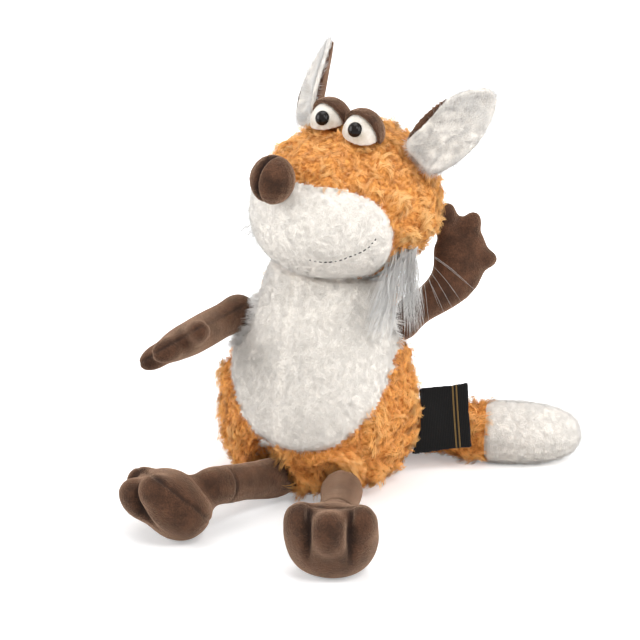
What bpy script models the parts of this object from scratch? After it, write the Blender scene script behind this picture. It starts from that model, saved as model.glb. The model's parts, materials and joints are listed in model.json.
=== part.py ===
"""A seated plush fox: sewn skins over stuffing, with floppy limbs, ears and tail.

The origin is the middle of the flat underside of the trunk, +Z is up and the fox faces -Y.
Lengths are in metres.  Left and right are the fox's own.
"""

import math

import bmesh
import bpy
from mathutils import Matrix, Vector
from mathutils.bvhtree import BVHTree

# Fabric and thread
TRUNK_WALL = 0.0030
HEAD_WALL = 0.0028
LIMB_WALL = 0.0018
TAIL_WALL = 0.0025
GAP = 0.0003
JOINT_GAP = 0.0005
OVERRUN = 0.020

# Trunk: a pear that leans a little to the fox's left as it rises
TRUNK_HEIGHT = 0.157
TRUNK_RADIUS = 0.0600
TRUNK_LEAN = 0.0075
SEAT_FLAT = 0.0005
PELLET_LEVEL = 0.022
PANEL_WIDTH = 0.102
PANEL_BOTTOM = 0.0366
PANEL_TOP = 0.136
PANEL_SHIFT = -0.0080
PANEL_SLOPE = 0.10
# each ring of the pear: height, radius and lean as shares of the sizes above
TRUNK_RING_SHARES = (
    (0.000, 0.34, 0.00),
    (0.000, 0.70, 0.00),
    (0.055, 0.925, 0.02),
    (0.165, 1.035, 0.10),
    (0.310, 1.050, 0.25),
    (0.450, 0.990, 0.45),
    (0.590, 0.850, 0.80),
    (0.710, 0.715, 1.00),
    (0.800, 0.660, 1.00),
    (0.890, 0.590, 1.00),
    (0.975, 0.380, 1.00),
)
# half outline of the belly panel from its bottom to its top: height and half width shares
PANEL_OUTLINE_SHARES = (
    (0.00, 0.00),
    (0.01, 0.24),
    (0.045, 0.44),
    (0.105, 0.61),
    (0.19, 0.75),
    (0.27, 0.86),
    (0.35, 0.93),
    (0.45, 0.98),
    (0.56, 1.00),
    (0.70, 0.93),
    (0.85, 0.83),
    (1.00, 0.72),
)

# Head: an egg that points forwards, turned to the fox's right and tilted to its left
HEAD_CENTRE = (0.020, -0.004, 0.1765)
HEAD_TURN = math.radians(-34)
HEAD_TILT = math.radians(8)
HEAD_LENGTH = 0.118
HEAD_WIDTH = 0.108
HEAD_HEIGHT = 0.094
# each ring: place along the length, rise, width and height shares
HEAD_RING_SHARES = (
    (-0.420, 0.000, 0.60, 0.60),
    (-0.270, 0.000, 0.93, 0.92),
    (-0.080, -0.010, 1.05, 1.02),
    (0.110, -0.045, 1.02, 0.95),
    (0.290, -0.065, 0.86, 0.84),
    (0.420, -0.045, 0.62, 0.66),
    (0.495, -0.025, 0.38, 0.38),
)
HEAD_POLE_SHARES = (-0.475, 0.525)
# the seam between crown and muzzle, seen from the side: forward and up shares
MUZZLE_SEAM_SHARES = (
    (0.62, 0.13),
    (0.45, 0.16),
    (0.36, 0.19),
    (0.27, 0.17),
    (0.19, 0.10),
    (0.145, 0.00),
    (0.12, -0.14),
    (0.09, -0.28),
    (0.06, -0.44),
    (0.05, -0.62),
)
NECK_PIVOT_HEIGHT = 0.118

# Face, placed from the middle of the head as forward, left and up
NOSE_RADIUS = 0.0129
NOSE_PLACE = (0.0630, -0.0012, 0.0185)
NOSE_LONG_SHARE = 1.08
EYE_RADIUS = 0.0110
EYE_PLACE = (0.0095, 0.0127, 0.0418)
PUPIL_RADIUS = 0.0045
PUPIL_TURN = math.radians(18)
PUPIL_RISE = math.radians(22)
PUPIL_SEAT_SHARE = 0.86
SHANK_START_SHARE = 1.10
BORE_REACH_SHARE = 1.20
EYE_STRETCH_SHARE = 1.04
SHANK_RADIUS = 0.0012
WASHER_RADIUS = 0.0032
WASHER_THICKNESS = 0.0012
WASHER_DEPTH_SHARE = 0.35
EYELID_WALL = 0.0024
EYELID_LEAN = math.radians(25)
THREAD_RADIUS = 0.0006
# the mouth, as turn and dip from the middle of the head, in degrees
MOUTH_ANGLES = ((24, -20.9), (31, -21.6), (38, -20.8), (45, -18), (52, -14.6), (56.5, -11.4), (59.5, -6))

# Ears: a brown back and a pale front, sewn edge to edge
EAR_LENGTH = 0.046
EAR_WIDTH = 0.0315
EAR_BACK_WALL = 0.0018
EAR_FRONT_WALL = 0.0024
EAR_CUP = 0.0105
EAR_CUP_FADE = 0.60
EAR_SINK = 0.0085
EAR_BASE = (-0.0150, 0.0438, 0.0370)
EAR_TIP = (-0.0380, 0.0620, 0.0700)
EAR_FACE_TURN = math.radians(22)
EAR_OUTLINE_SHARES = ((0.0, 0.70), (0.18, 0.92), (0.38, 1.0), (0.58, 0.95), (0.76, 0.77), (0.90, 0.50), (1.0, 0.22))

# Cheek tufts: long pile caught in the cheek seam
TUFT_LENGTH = 0.044
TUFT_WIDTH = 0.019
TUFT_THICKNESS = 0.007
TUFT_SET_BACK_SHARE = 0.125
TUFT_RING_SHARES = ((0.0, 0.55), (0.30, 1.0), (0.62, 0.80), (0.88, 0.42))

# Arms
ARM_LENGTH = 0.066
ARM_RADIUS = 0.0110
SHOULDER_RADIUS = 0.0122
HAND_WIDTH_SHARE = 1.50
HAND_DEPTH_SHARE = 0.80
FINGER_RADIUS = 0.0074
FINGER_LENGTH = 0.0122
# each ring: along, bend, width and depth shares
ARM_RING_SHARES = (
    (-0.13, 0.00, 0.84, 0.84),
    (0.00, 0.00, 1.07, 1.07),
    (0.18, 0.30, 0.84, 0.84),
    (0.40, 0.85, 1.04, 0.96),
    (0.62, 1.05, 1.48, 0.92),
    (0.80, 0.72, 1.60, 0.84),
    (0.96, 0.25, 1.40, 0.70),
)
# the fingers: across and along as shares of the arm, and splay in degrees
FINGER_SHARES = ((1.02, 0.98, 24), (-0.30, 1.03, 8), (-1.57, 0.85, -60))
# the edge of each hand that the thumb is on, along the hand's own X
HAND_SIDES = {"left": 1, "right": 1}

# Legs and feet
LEG_LENGTH = 0.056
LEG_RADIUS = 0.0114
HIP_RADIUS = 0.0132
ANKLE_RADIUS = 0.0117
LEG_RING_SHARES = ((-0.19, 0.90), (0.00, 1.15), (0.30, 0.95), (0.70, 0.93), (1.00, 1.00), (1.17, 0.80))
FOOT_LENGTH = 0.054
FOOT_WIDTH = 0.049
FOOT_DEPTH = 0.035
ANKLE_SET_BACK = 0.0205
ANKLE_RISE = 0.0120
# each ring from heel to toes: along, width, depth and forward shares
FOOT_RING_SHARES = (
    (0.11, 0.78, 0.76, 0.02),
    (0.30, 0.98, 1.04, 0.00),
    (0.52, 1.03, 1.00, 0.00),
    (0.72, 1.03, 0.88, 0.05),
)
FOOT_POLE_SHARES = (0.0, 0.88)
TOE_RADIUS = 0.0110
TOE_LENGTH = 0.0155
# the toes: across, along, forward shares and splay in degrees
TOE_SHARES = ((-0.28, 0.66, 0.02, -18), (0.00, 0.72, 0.24, 0), (0.28, 0.66, 0.02, 18))

# Tail
TAIL_LENGTH = 0.126
TAIL_RADIUS = 0.0185
TAIL_ROOT_RADIUS = 0.0130
TAIL_SEAM_SHARE = 0.52
TAIL_SWAY = 0.010
TAIL_SWING = math.radians(8)
# each ring: along, sway and radius shares
TAIL_RING_SHARES = (
    (0.00, 0.00, 0.74),
    (0.14, 0.35, 0.80),
    (0.34, 0.90, 0.98),
    (0.54, 1.00, 1.06),
    (0.74, 0.90, 1.08),
    (0.90, 0.70, 0.86),
    (0.97, 0.62, 0.52),
)

# Side label, sewn into the side seam
LABEL_WIDTH = 0.031
LABEL_HEIGHT = 0.041
LABEL_THICKNESS = 0.0010
LABEL_BOTTOM = 0.0165
LABEL_TILT = math.radians(5)
LABEL_TURN = math.radians(18)

# Roots of the limbs and the ways in which they point
SHOULDERS = {"left": (0.0512, 0.0050, 0.0985), "right": (-0.0458, -0.0100, 0.1032)}
ARM_WAYS = {"left": (0.436, 0.39, 0.787), "right": (-0.402, -0.912, -0.082)}
ARM_FACES = {"left": (0.24, -0.96, 0.10), "right": (0.54, -0.16, -0.83)}
ARM_BENDS = {"left": 0.015, "right": 0.003}
HIPS = {"left": (0.0260, -0.0610, 0.0145), "right": (-0.0160, -0.0480, 0.0145)}
LEG_WAYS = {"left": (0.09, -0.985, 0.092), "right": (-0.475, -0.86, 0.226)}
FOOT_WAYS = {"left": (0.05, -0.46, 0.88), "right": (-0.72, -0.20, 0.66)}
SOLE_WAYS = {"left": (0.09, -0.99, 0.03), "right": (-0.62, -0.52, -0.60)}
TAIL_ROOT = (0.0350, 0.0480, 0.0185)
TAIL_WAY = (0.998, 0.02, 0.0)
SIDES = {"left": 1, "right": -1}
LEG_RAISE = 30
LABEL_SEAM_SHARE = 1.03
LABEL_HEM = 0.010
# where the tufts leave the head, as turn and dip in degrees, and how they hang
TUFT_ANGLES = {"left": (88, -22), "right": (-78, -26)}
TUFT_WAYS = {"left": (-0.02, -0.05, -1.0), "right": (-0.80, -0.20, -0.55)}

COLOURS = {
    "orange_plush": ((0.70, 0.30, 0.07), 0.95),
    "white_plush": ((0.82, 0.80, 0.76), 0.95),
    "brown_velboa": ((0.11, 0.065, 0.045), 0.90),
    "eye_fleece": ((0.86, 0.82, 0.74), 0.95),
    "black_bead": ((0.008, 0.008, 0.009), 0.08),
    "washer_plastic": ((0.75, 0.75, 0.72), 0.50),
    "black_thread": ((0.015, 0.014, 0.014), 0.70),
    "label_satin": ((0.012, 0.012, 0.014), 0.40),
    "stuffing": ((0.88, 0.88, 0.86), 1.00),
    "pellets": ((0.60, 0.58, 0.52), 0.85),
}


def clear_scene():
    for thing in list(bpy.data.objects):
        bpy.data.objects.remove(thing, do_unlink=True)


def new_collection(name):
    collection = bpy.data.collections.new(name)
    bpy.context.scene.collection.children.link(collection)
    return collection


clear_scene()
FOX = new_collection("PlushFox")
HELPERS = new_collection("PlushFox_cutters")
EMPTIES = {}


def material(name):
    found = bpy.data.materials.get(name)
    if found:
        return found
    colour, roughness = COLOURS[name]
    made = bpy.data.materials.new(name)
    made.use_nodes = True
    shader = made.node_tree.nodes["Principled BSDF"]
    shader.inputs["Base Color"].default_value = (*colour, 1)
    shader.inputs["Roughness"].default_value = roughness
    shader.inputs["Metallic"].default_value = 0
    return made


def object_from(bm, name, closed=True):
    """A helper object from a bmesh; piece() later turns the ones that are kept into parts."""
    if closed:
        bmesh.ops.recalc_face_normals(bm, faces=bm.faces)
    mesh = bpy.data.meshes.new(name)
    bm.to_mesh(mesh)
    bm.free()
    made = bpy.data.objects.new(name, mesh)
    HELPERS.objects.link(made)
    made.hide_render = True
    made.display_type = "WIRE"
    return made


def piece(thing, name, finish, body="trunk"):
    """Make a helper a finished part: named, coloured and hung on the empty of its body."""
    HELPERS.objects.unlink(thing)
    FOX.objects.link(thing)
    thing.name = thing.data.name = name
    thing.hide_render = False
    thing.display_type = "TEXTURED"
    thing.data.materials.clear()
    thing.data.materials.append(material(finish))
    thing.data.shade_smooth()
    if body in EMPTIES:
        pivot = EMPTIES[body]
        thing.parent = pivot
        thing.matrix_parent_inverse = Matrix.Translation(pivot.location).inverted()
    return thing


def pivot_empty(body, place):
    empty = bpy.data.objects.new("pivot_" + body, None)
    empty.location = place
    FOX.objects.link(empty)
    EMPTIES[body] = empty


def boolean(target, other, operation):
    step = target.modifiers.new(operation.lower(), "BOOLEAN")
    step.operation = operation
    step.solver = "EXACT"
    step.object = other
    return target


def cut(target, *cutters):
    for cutter in cutters:
        boolean(target, cutter, "DIFFERENCE")
    return target


def joined(target, *others):
    for other in others:
        boolean(target, other, "UNION")
    return target


def common(target, other):
    return boolean(target, other, "INTERSECT")


def ring_frame(centres, index):
    """Width and depth directions, square to the spine, at one ring."""
    along = centres[min(index + 1, len(centres) - 1)] - centres[max(index - 1, 0)]
    across = Vector((1, 0, 0))
    if along.length < GAP:
        return across, Vector((0, 1, 0))
    along.normalize()
    width = (across - along * across.dot(along)).normalized()
    return width, along.cross(width)


def stuffed_form(name, rings, poles, matrix, sides=8, inset=0.0, root_reach=0.0):
    """A closed sewn form: a coarse cage of rings along local Z, smoothed by subdivision.

    A ring is (along, shift, half width, half depth, depth shift).  inset shrinks the form all
    round for a lining or a filling, and root_reach carries its first end on, to open a shell.
    """
    low, high = poles
    middle = (low + high) / 2
    squeeze = 1 - 2 * inset / (high - low)
    swell = 6 / (4 + 2 * math.cos(2 * math.pi / sides))
    centres = [
        Vector((shift, forward, middle + (along - middle) * squeeze))
        for along, shift, _, _, forward in rings
    ]
    ends = [middle + (low - middle) * squeeze, middle + (high - middle) * squeeze]
    if root_reach:
        ends[0] -= root_reach
        centres[0] = Vector((centres[0].x, centres[0].y, ends[0]))
    bm = bmesh.new()
    loops = []
    for index, (_, _, half_width, half_depth, _) in enumerate(rings):
        width, depth = ring_frame(centres, index)
        loop = []
        for step in range(sides):
            turn = 2 * math.pi * step / sides
            offset = width * (math.cos(turn) * (half_width - inset) * swell)
            offset += depth * (math.sin(turn) * (half_depth - inset) * swell)
            loop.append(bm.verts.new(centres[index] + offset))
        loops.append(loop)
    for lower, upper in zip(loops, loops[1:]):
        for step in range(sides):
            after = (step + 1) % sides
            bm.faces.new((lower[step], lower[after], upper[after], upper[step]))
    for loop, centre, end in ((loops[0], centres[0], ends[0]), (loops[-1], centres[-1], ends[1])):
        pole = bm.verts.new(Vector((centre.x, centre.y, end)))
        for step in range(sides):
            bm.faces.new((loop[step], loop[(step + 1) % sides], pole))
    bmesh.ops.transform(bm, matrix=matrix, verts=bm.verts)
    made = object_from(bm, name)
    smooth = made.modifiers.new("smooth", "SUBSURF")
    smooth.levels = smooth.render_levels = 1
    return made


def ball(name, radius, matrix, segments=16, stretch=1.0):
    """A round form, stretched along its local Z."""
    bm = bmesh.new()
    bmesh.ops.create_uvsphere(bm, u_segments=segments, v_segments=segments * 5 // 8, radius=radius)
    bmesh.ops.scale(bm, vec=(1, 1, stretch), verts=bm.verts)
    bmesh.ops.transform(bm, matrix=matrix, verts=bm.verts)
    return object_from(bm, name)


def rod(name, radius, start, end, segments=16):
    """A cylinder from one point to another."""
    way = end - start
    bm = bmesh.new()
    bmesh.ops.create_cone(bm, cap_ends=True, segments=segments, radius1=radius, radius2=radius, depth=way.length)
    turn = way.to_track_quat("Z", "Y").to_matrix().to_4x4()
    bmesh.ops.transform(bm, matrix=Matrix.Translation((start + end) / 2) @ turn, verts=bm.verts)
    return object_from(bm, name)


def block(name, low, high, matrix=None):
    """A box between two corners."""
    low, high = Vector(low), Vector(high)
    bm = bmesh.new()
    bmesh.ops.create_cube(bm, size=1)
    bmesh.ops.scale(bm, vec=high - low, verts=bm.verts)
    bmesh.ops.translate(bm, vec=(low + high) / 2, verts=bm.verts)
    if matrix:
        bmesh.ops.transform(bm, matrix=matrix, verts=bm.verts)
    return object_from(bm, name)


def prism(name, outline, half_thickness, matrix):
    """A flat outline in local XY, thickened both ways along local Z."""
    curve = bpy.data.curves.new(name, "CURVE")
    curve.dimensions = "2D"
    curve.fill_mode = "BOTH"
    curve.extrude = half_thickness
    spline = curve.splines.new("POLY")
    spline.points.add(len(outline) - 1)
    for point, place in zip(spline.points, outline):
        point.co = (place[0], place[1], 0, 1)
    spline.use_cyclic_u = True
    guide = bpy.data.objects.new(name + "_guide", curve)
    HELPERS.objects.link(guide)
    bpy.context.view_layer.update()
    mesh = bpy.data.meshes.new_from_object(guide.evaluated_get(bpy.context.evaluated_depsgraph_get()))
    bpy.data.objects.remove(guide, do_unlink=True)
    bm = bmesh.new()
    bm.from_mesh(mesh)
    bpy.data.meshes.remove(mesh)
    bmesh.ops.remove_doubles(bm, verts=bm.verts, dist=GAP / 10)
    bmesh.ops.transform(bm, matrix=matrix, verts=bm.verts)
    return object_from(bm, name)


def smooth_line(points, steps):
    """A Catmull-Rom line through the points."""
    points = [Vector(point) for point in points]
    padded = [points[0]] + points + [points[-1]]
    line = []
    for a, b, c, d in zip(padded, padded[1:], padded[2:], padded[3:]):
        for step in range(steps):
            t = step / steps
            line.append(0.5 * (2 * b + (c - a) * t + (2 * a - 5 * b + 4 * c - d) * t**2 + (3 * b - a - 3 * c + d) * t**3))
    return line + [points[-1]]


def facing(place, along, face):
    """A frame at a place with local Z along a way and local Y turned as near to a face as it can be."""
    along, face = Vector(along).normalized(), Vector(face)
    depth = (face - along * face.dot(along)).normalized()
    turn = Matrix((depth.cross(along), depth, along)).transposed()
    return Matrix.Translation(place) @ turn.to_4x4()


def surface_tree(thing):
    bpy.context.view_layer.update()
    return BVHTree.FromObject(thing, bpy.context.evaluated_depsgraph_get())


HEAD_FRAME = (
    Matrix.Translation(HEAD_CENTRE)
    @ Matrix.Rotation(HEAD_TURN, 4, "Z")
    @ Matrix.Rotation(HEAD_TILT, 4, "Y")
)


def head_way(forward, left, up):
    """A direction given as forward, left and up of the head."""
    return HEAD_FRAME.to_3x3() @ Vector((left, -forward, up))


def head_point(forward, left, up):
    return HEAD_FRAME @ Vector((left, -forward, up))


def trunk_middle(height):
    """The trunk's leaning middle line."""
    share = height / TRUNK_HEIGHT
    for (low, _, lean_low), (high, _, lean_high) in zip(TRUNK_RING_SHARES, TRUNK_RING_SHARES[1:]):
        if low <= share < high:
            lean = lean_low + (lean_high - lean_low) * (share - low) / (high - low)
            return Vector((TRUNK_LEAN * lean, 0, height))
    return Vector((TRUNK_LEAN, 0, height))


def trunk_form(name, inset=0.0, sides=12):
    rings = [
        (height * TRUNK_HEIGHT - SEAT_FLAT, lean * TRUNK_LEAN, radius * TRUNK_RADIUS, radius * TRUNK_RADIUS, 0)
        for height, radius, lean in TRUNK_RING_SHARES
    ]
    return stuffed_form(name, rings, (-SEAT_FLAT, TRUNK_HEIGHT), Matrix.Identity(4), sides, inset)


def head_form(name, inset=0.0, sides=12):
    rings = [
        (along * HEAD_LENGTH, 0, width * HEAD_WIDTH / 2, height * HEAD_HEIGHT / 2, rise * HEAD_HEIGHT)
        for along, rise, width, height in HEAD_RING_SHARES
    ]
    poles = [share * HEAD_LENGTH for share in HEAD_POLE_SHARES]
    forward = head_way(1, 0, 0)
    frame = facing(HEAD_FRAME.translation, forward, head_way(0, 0, 1))
    return stuffed_form(name, rings, poles, frame, sides, inset)


def arm_frame(side):
    return facing(SHOULDERS[side], ARM_WAYS[side], ARM_FACES[side])


def arm_form(name, side, inset=0.0, root_reach=0.0):
    bend = ARM_BENDS[side] * SIDES[side]
    rings = [
        (along * ARM_LENGTH, -shift * bend, width * ARM_RADIUS, depth * ARM_RADIUS, 0)
        for along, shift, width, depth in ARM_RING_SHARES
    ]
    poles = (-SHOULDER_RADIUS, ARM_LENGTH + ARM_RADIUS / 2)
    return stuffed_form(name, rings, poles, arm_frame(side), 8, inset, root_reach)


def fingers(side):
    bend = ARM_BENDS[side] * SIDES[side] * ARM_RING_SHARES[-1][1]
    made = []
    for number, (across, along, splay) in enumerate(FINGER_SHARES):
        place = (across * HAND_SIDES[side] * ARM_RADIUS - bend, 0, along * ARM_LENGTH)
        turn = Matrix.Rotation(math.radians(splay * HAND_SIDES[side]), 4, "Y")
        frame = arm_frame(side) @ Matrix.Translation(place) @ turn
        made.append(ball(f"{side}_finger_{number}", FINGER_RADIUS, frame, 10, FINGER_LENGTH / FINGER_RADIUS))
    return made


def ankle_place(side):
    return Vector(HIPS[side]) + Vector(LEG_WAYS[side]).normalized() * LEG_LENGTH


def leg_frame(side):
    return facing(HIPS[side], LEG_WAYS[side], (0, 0, 1))


def leg_form(name, side, inset=0.0, root_reach=0.0):
    rings = [(along * LEG_LENGTH, 0, radius * LEG_RADIUS, radius * LEG_RADIUS, 0) for along, radius in LEG_RING_SHARES]
    return stuffed_form(name, rings, (-HIP_RADIUS, LEG_LENGTH + ANKLE_RADIUS), leg_frame(side), 8, inset, root_reach)


def foot_frame(side):
    """Local Z runs from heel to toes and local Y out through the sole."""
    frame = facing(ankle_place(side), FOOT_WAYS[side], SOLE_WAYS[side])
    return frame @ Matrix.Translation((0, ANKLE_SET_BACK, -ANKLE_RISE))


def foot_form(name, side, inset=0.0):
    rings = [
        (along * FOOT_LENGTH, 0, width * FOOT_WIDTH / 2, depth * FOOT_DEPTH / 2, forward * FOOT_DEPTH)
        for along, width, depth, forward in FOOT_RING_SHARES
    ]
    poles = [share * FOOT_LENGTH for share in FOOT_POLE_SHARES]
    return stuffed_form(name, rings, poles, foot_frame(side), 8, inset)


def toes(side):
    made = []
    for number, (across, along, forward, splay) in enumerate(TOE_SHARES):
        place = (across * FOOT_WIDTH, forward * FOOT_DEPTH, along * FOOT_LENGTH)
        turn = Matrix.Rotation(math.radians(splay), 4, "Y")
        frame = foot_frame(side) @ Matrix.Translation(place) @ turn
        made.append(ball(f"{side}_toe_{number}", TOE_RADIUS, frame, 10, TOE_LENGTH / TOE_RADIUS))
    return made


def tail_frame():
    return facing(TAIL_ROOT, TAIL_WAY, (0, 0, 1))


def tail_form(name, inset=0.0, root_reach=0.0):
    rings = [
        (along * TAIL_LENGTH, -sway * TAIL_SWAY, radius * TAIL_RADIUS, radius * TAIL_RADIUS, 0)
        for along, sway, radius in TAIL_RING_SHARES
    ]
    return stuffed_form(name, rings, (-TAIL_ROOT_RADIUS, TAIL_LENGTH), tail_frame(), 8, inset, root_reach)


def body_frames():
    """One empty on the axis of each moving body."""
    pivot_empty("head", (TRUNK_LEAN, 0, NECK_PIVOT_HEIGHT))
    for side, sign in SIDES.items():
        forward, left, up = EAR_BASE
        pivot_empty(side + "_ear", head_point(forward, left * sign, up))
        pivot_empty(side + "_arm", SHOULDERS[side])
        pivot_empty(side + "_leg", HIPS[side])
        pivot_empty(side + "_foot", ankle_place(side))
    pivot_empty("tail", TAIL_ROOT)
    pivot_empty("label", label_frame().translation)


def raised_leg(name, side, degrees):
    """The space that a raised leg presses into."""
    leg = leg_form(name, side, -JOINT_GAP)
    hip = Matrix.Translation(HIPS[side])
    across = Vector(LEG_WAYS[side]).cross(Vector((0, 0, 1)))
    turn = Matrix.Rotation(math.radians(degrees), 4, across)
    leg.data.transform(hip @ turn @ hip.inverted())
    return leg


def trunk_hollows():
    """What the limbs and the tail take out of the trunk."""
    hollows = []
    for side in SIDES:
        hollows.append(ball(side + "_armhole", SHOULDER_RADIUS + JOINT_GAP, arm_frame(side)))
        hollows.append(ball(side + "_leg_hole", HIP_RADIUS + GAP, leg_frame(side)))
        hollows.append(raised_leg(side + "_raised_leg_space", side, LEG_RAISE))
        hollows.append(raised_leg(side + "_half_raised_leg_space", side, LEG_RAISE / 2))
    hollows.append(ball("tail_hole", TAIL_ROOT_RADIUS + JOINT_GAP, tail_frame()))
    hollows.append(tail_form("tail_space", -JOINT_GAP))
    swung = tail_form("swung_tail_space", -JOINT_GAP)
    root = Matrix.Translation(TAIL_ROOT)
    swung.data.transform(root @ Matrix.Rotation(-TAIL_SWING, 4, "Z") @ root.inverted())
    hollows.append(swung)
    return hollows


def panel_prism(name, narrower=0.0):
    """The front view of the belly panel, thickened through the front half of the trunk."""
    half_width, height = PANEL_WIDTH / 2, PANEL_TOP - PANEL_BOTTOM
    right = [(share * half_width, PANEL_BOTTOM + rise * height) for rise, share in PANEL_OUTLINE_SHARES]
    outline = [(x, z, 0) for x, z in right] + [(-x, z, 0) for x, z in reversed(right[1:])]
    middle = sum(z for _, z, _ in outline) / len(outline)
    shrink = 1 - narrower / half_width
    outline = [(x * shrink, middle + (z - middle) * shrink) for x, z, _ in outline]
    depth = TRUNK_RADIUS
    return prism(name, outline, depth - narrower, facing((PANEL_SHIFT, -depth, 0), (0, -1, 0), (PANEL_SLOPE, 0, 1)))


def floor_block(name):
    reach = TRUNK_HEIGHT + TAIL_LENGTH
    return block(name, (-reach, -reach, -OVERRUN), (reach, reach, 0))


def trunk(floor):
    """Orange back, white belly panel, stuffing and the pellet bag that makes it sit."""
    hollows = trunk_hollows()
    wide = TRUNK_RADIUS * 2
    lining = trunk_form("trunk_lining", TRUNK_WALL, 8)
    back = cut(trunk_form("trunk_form"), panel_prism("belly_cut"), lining, floor, *hollows)
    piece(back, "back_skin", "orange_plush")
    belly = common(trunk_form("belly_form"), panel_prism("belly_outline", GAP))
    piece(cut(belly, *hollows, lining), "belly_panel", "white_plush")
    inner = TRUNK_WALL + GAP
    upper = block("above_pellets", (-wide, -wide, PELLET_LEVEL + GAP), (wide, wide, TRUNK_HEIGHT))
    lower = block("below_pellets", (-wide, -wide, -OVERRUN), (wide, wide, PELLET_LEVEL))
    filling = cut(common(trunk_form("filling_form", inner, 8), upper), *hollows)
    piece(filling, "trunk_filling", "stuffing")
    bag = cut(common(trunk_form("pellet_form", inner, 8), lower), *hollows)
    piece(bag, "pellet_bag", "pellets")


def muzzle_prism(name, shrink=0.0):
    """The side view of the muzzle, thickened across the head."""
    seam = [(forward * HEAD_LENGTH + shrink, up * HEAD_HEIGHT - shrink) for forward, up in MUZZLE_SEAM_SHARES]
    front = HEAD_LENGTH
    outline = [(front, seam[0][1])] + seam + [(front, seam[-1][1])]
    outline = [(forward, up, 0) for forward, up in outline]
    rounded = smooth_line(outline[1:-1], 3)
    outline = [outline[0]] + rounded + [outline[-1]]
    frame = facing(HEAD_FRAME.translation, head_way(0, -1, 0), head_way(0, 0, 1))
    return prism(name, outline, HEAD_WIDTH, frame)


def head():
    """Orange crown and white muzzle sewn round one stuffing."""
    neck = trunk_form("neck_space", -JOINT_GAP)
    lining = head_form("head_lining", HEAD_WALL, 8)
    crown = cut(head_form("crown_form"), muzzle_prism("muzzle_cut"), lining, neck)
    piece(crown, "crown_skin", "orange_plush", "head")
    muzzle = common(head_form("muzzle_form"), muzzle_prism("muzzle_outline", GAP))
    piece(cut(muzzle, lining, neck), "muzzle_skin", "white_plush", "head")
    filling = cut(head_form("head_filling_form", HEAD_WALL + GAP, 8), neck)
    piece(filling, "head_filling", "stuffing", "head")


def nose(clear_head):
    """A stuffed nose, sewn on the front of the crown."""
    frame = Matrix.Translation(head_point(*NOSE_PLACE)) @ HEAD_FRAME.to_3x3().to_4x4()
    made = ball("nose_form", NOSE_RADIUS, frame, 16, NOSE_LONG_SHARE)
    piece(cut(made, clear_head), "nose", "brown_velboa", "head")


def eye(side, clear_head, clear_sides):
    """Fleece eyeball, bead pupil with its washer, and the velboa lid over the back of the eye."""
    sign = SIDES[side]
    forward, left, up = EYE_PLACE
    place = head_point(forward, left * sign, up)
    frame = Matrix.Translation(place) @ HEAD_FRAME.to_3x3().to_4x4()
    level = math.cos(PUPIL_RISE)
    gaze = head_way(level * math.cos(PUPIL_TURN), level * math.sin(PUPIL_TURN), math.sin(PUPIL_RISE))
    reach = gaze * (EYE_RADIUS * BORE_REACH_SHARE)
    back = place - reach
    bore = rod(side + "_eye_bore", SHANK_RADIUS + GAP, place + reach, back)
    seat = place - gaze * (EYE_RADIUS * WASHER_DEPTH_SHARE)
    recess = rod(side + "_washer_recess", WASHER_RADIUS + GAP, seat, back)
    eyeball = cut(ball(side + "_eyeball_form", EYE_RADIUS, frame, 16, EYE_STRETCH_SHARE), clear_head, bore, recess)
    piece(eyeball, side + "_eyeball", "eye_fleece", "head")
    bead = ball(side + "_bead", PUPIL_RADIUS, Matrix.Translation(place + gaze * (EYE_RADIUS * PUPIL_SEAT_SHARE)), 16)
    cut(bead, ball(side + "_eye_seat", EYE_RADIUS + GAP, frame, 16, EYE_STRETCH_SHARE))
    washer_end = seat - gaze * (GAP + WASHER_THICKNESS)
    joined(bead, rod(side + "_shank", SHANK_RADIUS, place + gaze * (EYE_RADIUS * SHANK_START_SHARE), washer_end, 12))
    piece(cut(bead, clear_head), side + "_pupil", "black_bead", "head")
    washer = rod(side + "_washer_form", WASHER_RADIUS, seat - gaze * GAP, washer_end)
    piece(cut(washer, bore, clear_head), side + "_eye_washer", "washer_plastic", "head")
    inner = EYE_RADIUS + GAP
    lid = ball(side + "_lid_form", inner + EYELID_WALL, frame, 16, EYE_STRETCH_SHARE)
    front = facing(place, head_way(math.cos(EYELID_LEAN), 0, -math.sin(EYELID_LEAN)), head_way(0, 0, 1))
    low, high = (-inner * 2, -inner * 2, -GAP), (inner * 2, inner * 2, inner * 2)
    opening = block(side + "_lid_opening", low, high, front)
    cut(lid, ball(side + "_lid_lining", inner, frame, 16, EYE_STRETCH_SHARE), opening, clear_head, clear_sides[-sign])
    piece(lid, side + "_eyelid", "brown_velboa", "head")


def half_space(name, sign):
    """Everything past the middle of the head on one side, with half a gap to spare."""
    low, high = sorted((-sign * GAP / 2, sign * HEAD_WIDTH))
    return block(name, (low, -HEAD_LENGTH, -HEAD_HEIGHT), (high, HEAD_LENGTH, HEAD_HEIGHT), HEAD_FRAME)


def on_head(tree, turn, dip):
    """The point and outward normal of the head in one direction, in degrees, from its middle."""
    turn, dip = math.radians(turn), math.radians(dip)
    way = head_way(math.cos(dip) * math.cos(turn), math.cos(dip) * math.sin(turn), math.sin(dip))
    place, normal, _, _ = tree.ray_cast(HEAD_FRAME.translation, way)
    return place, (normal if normal.dot(way) > 0 else -normal)


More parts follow.
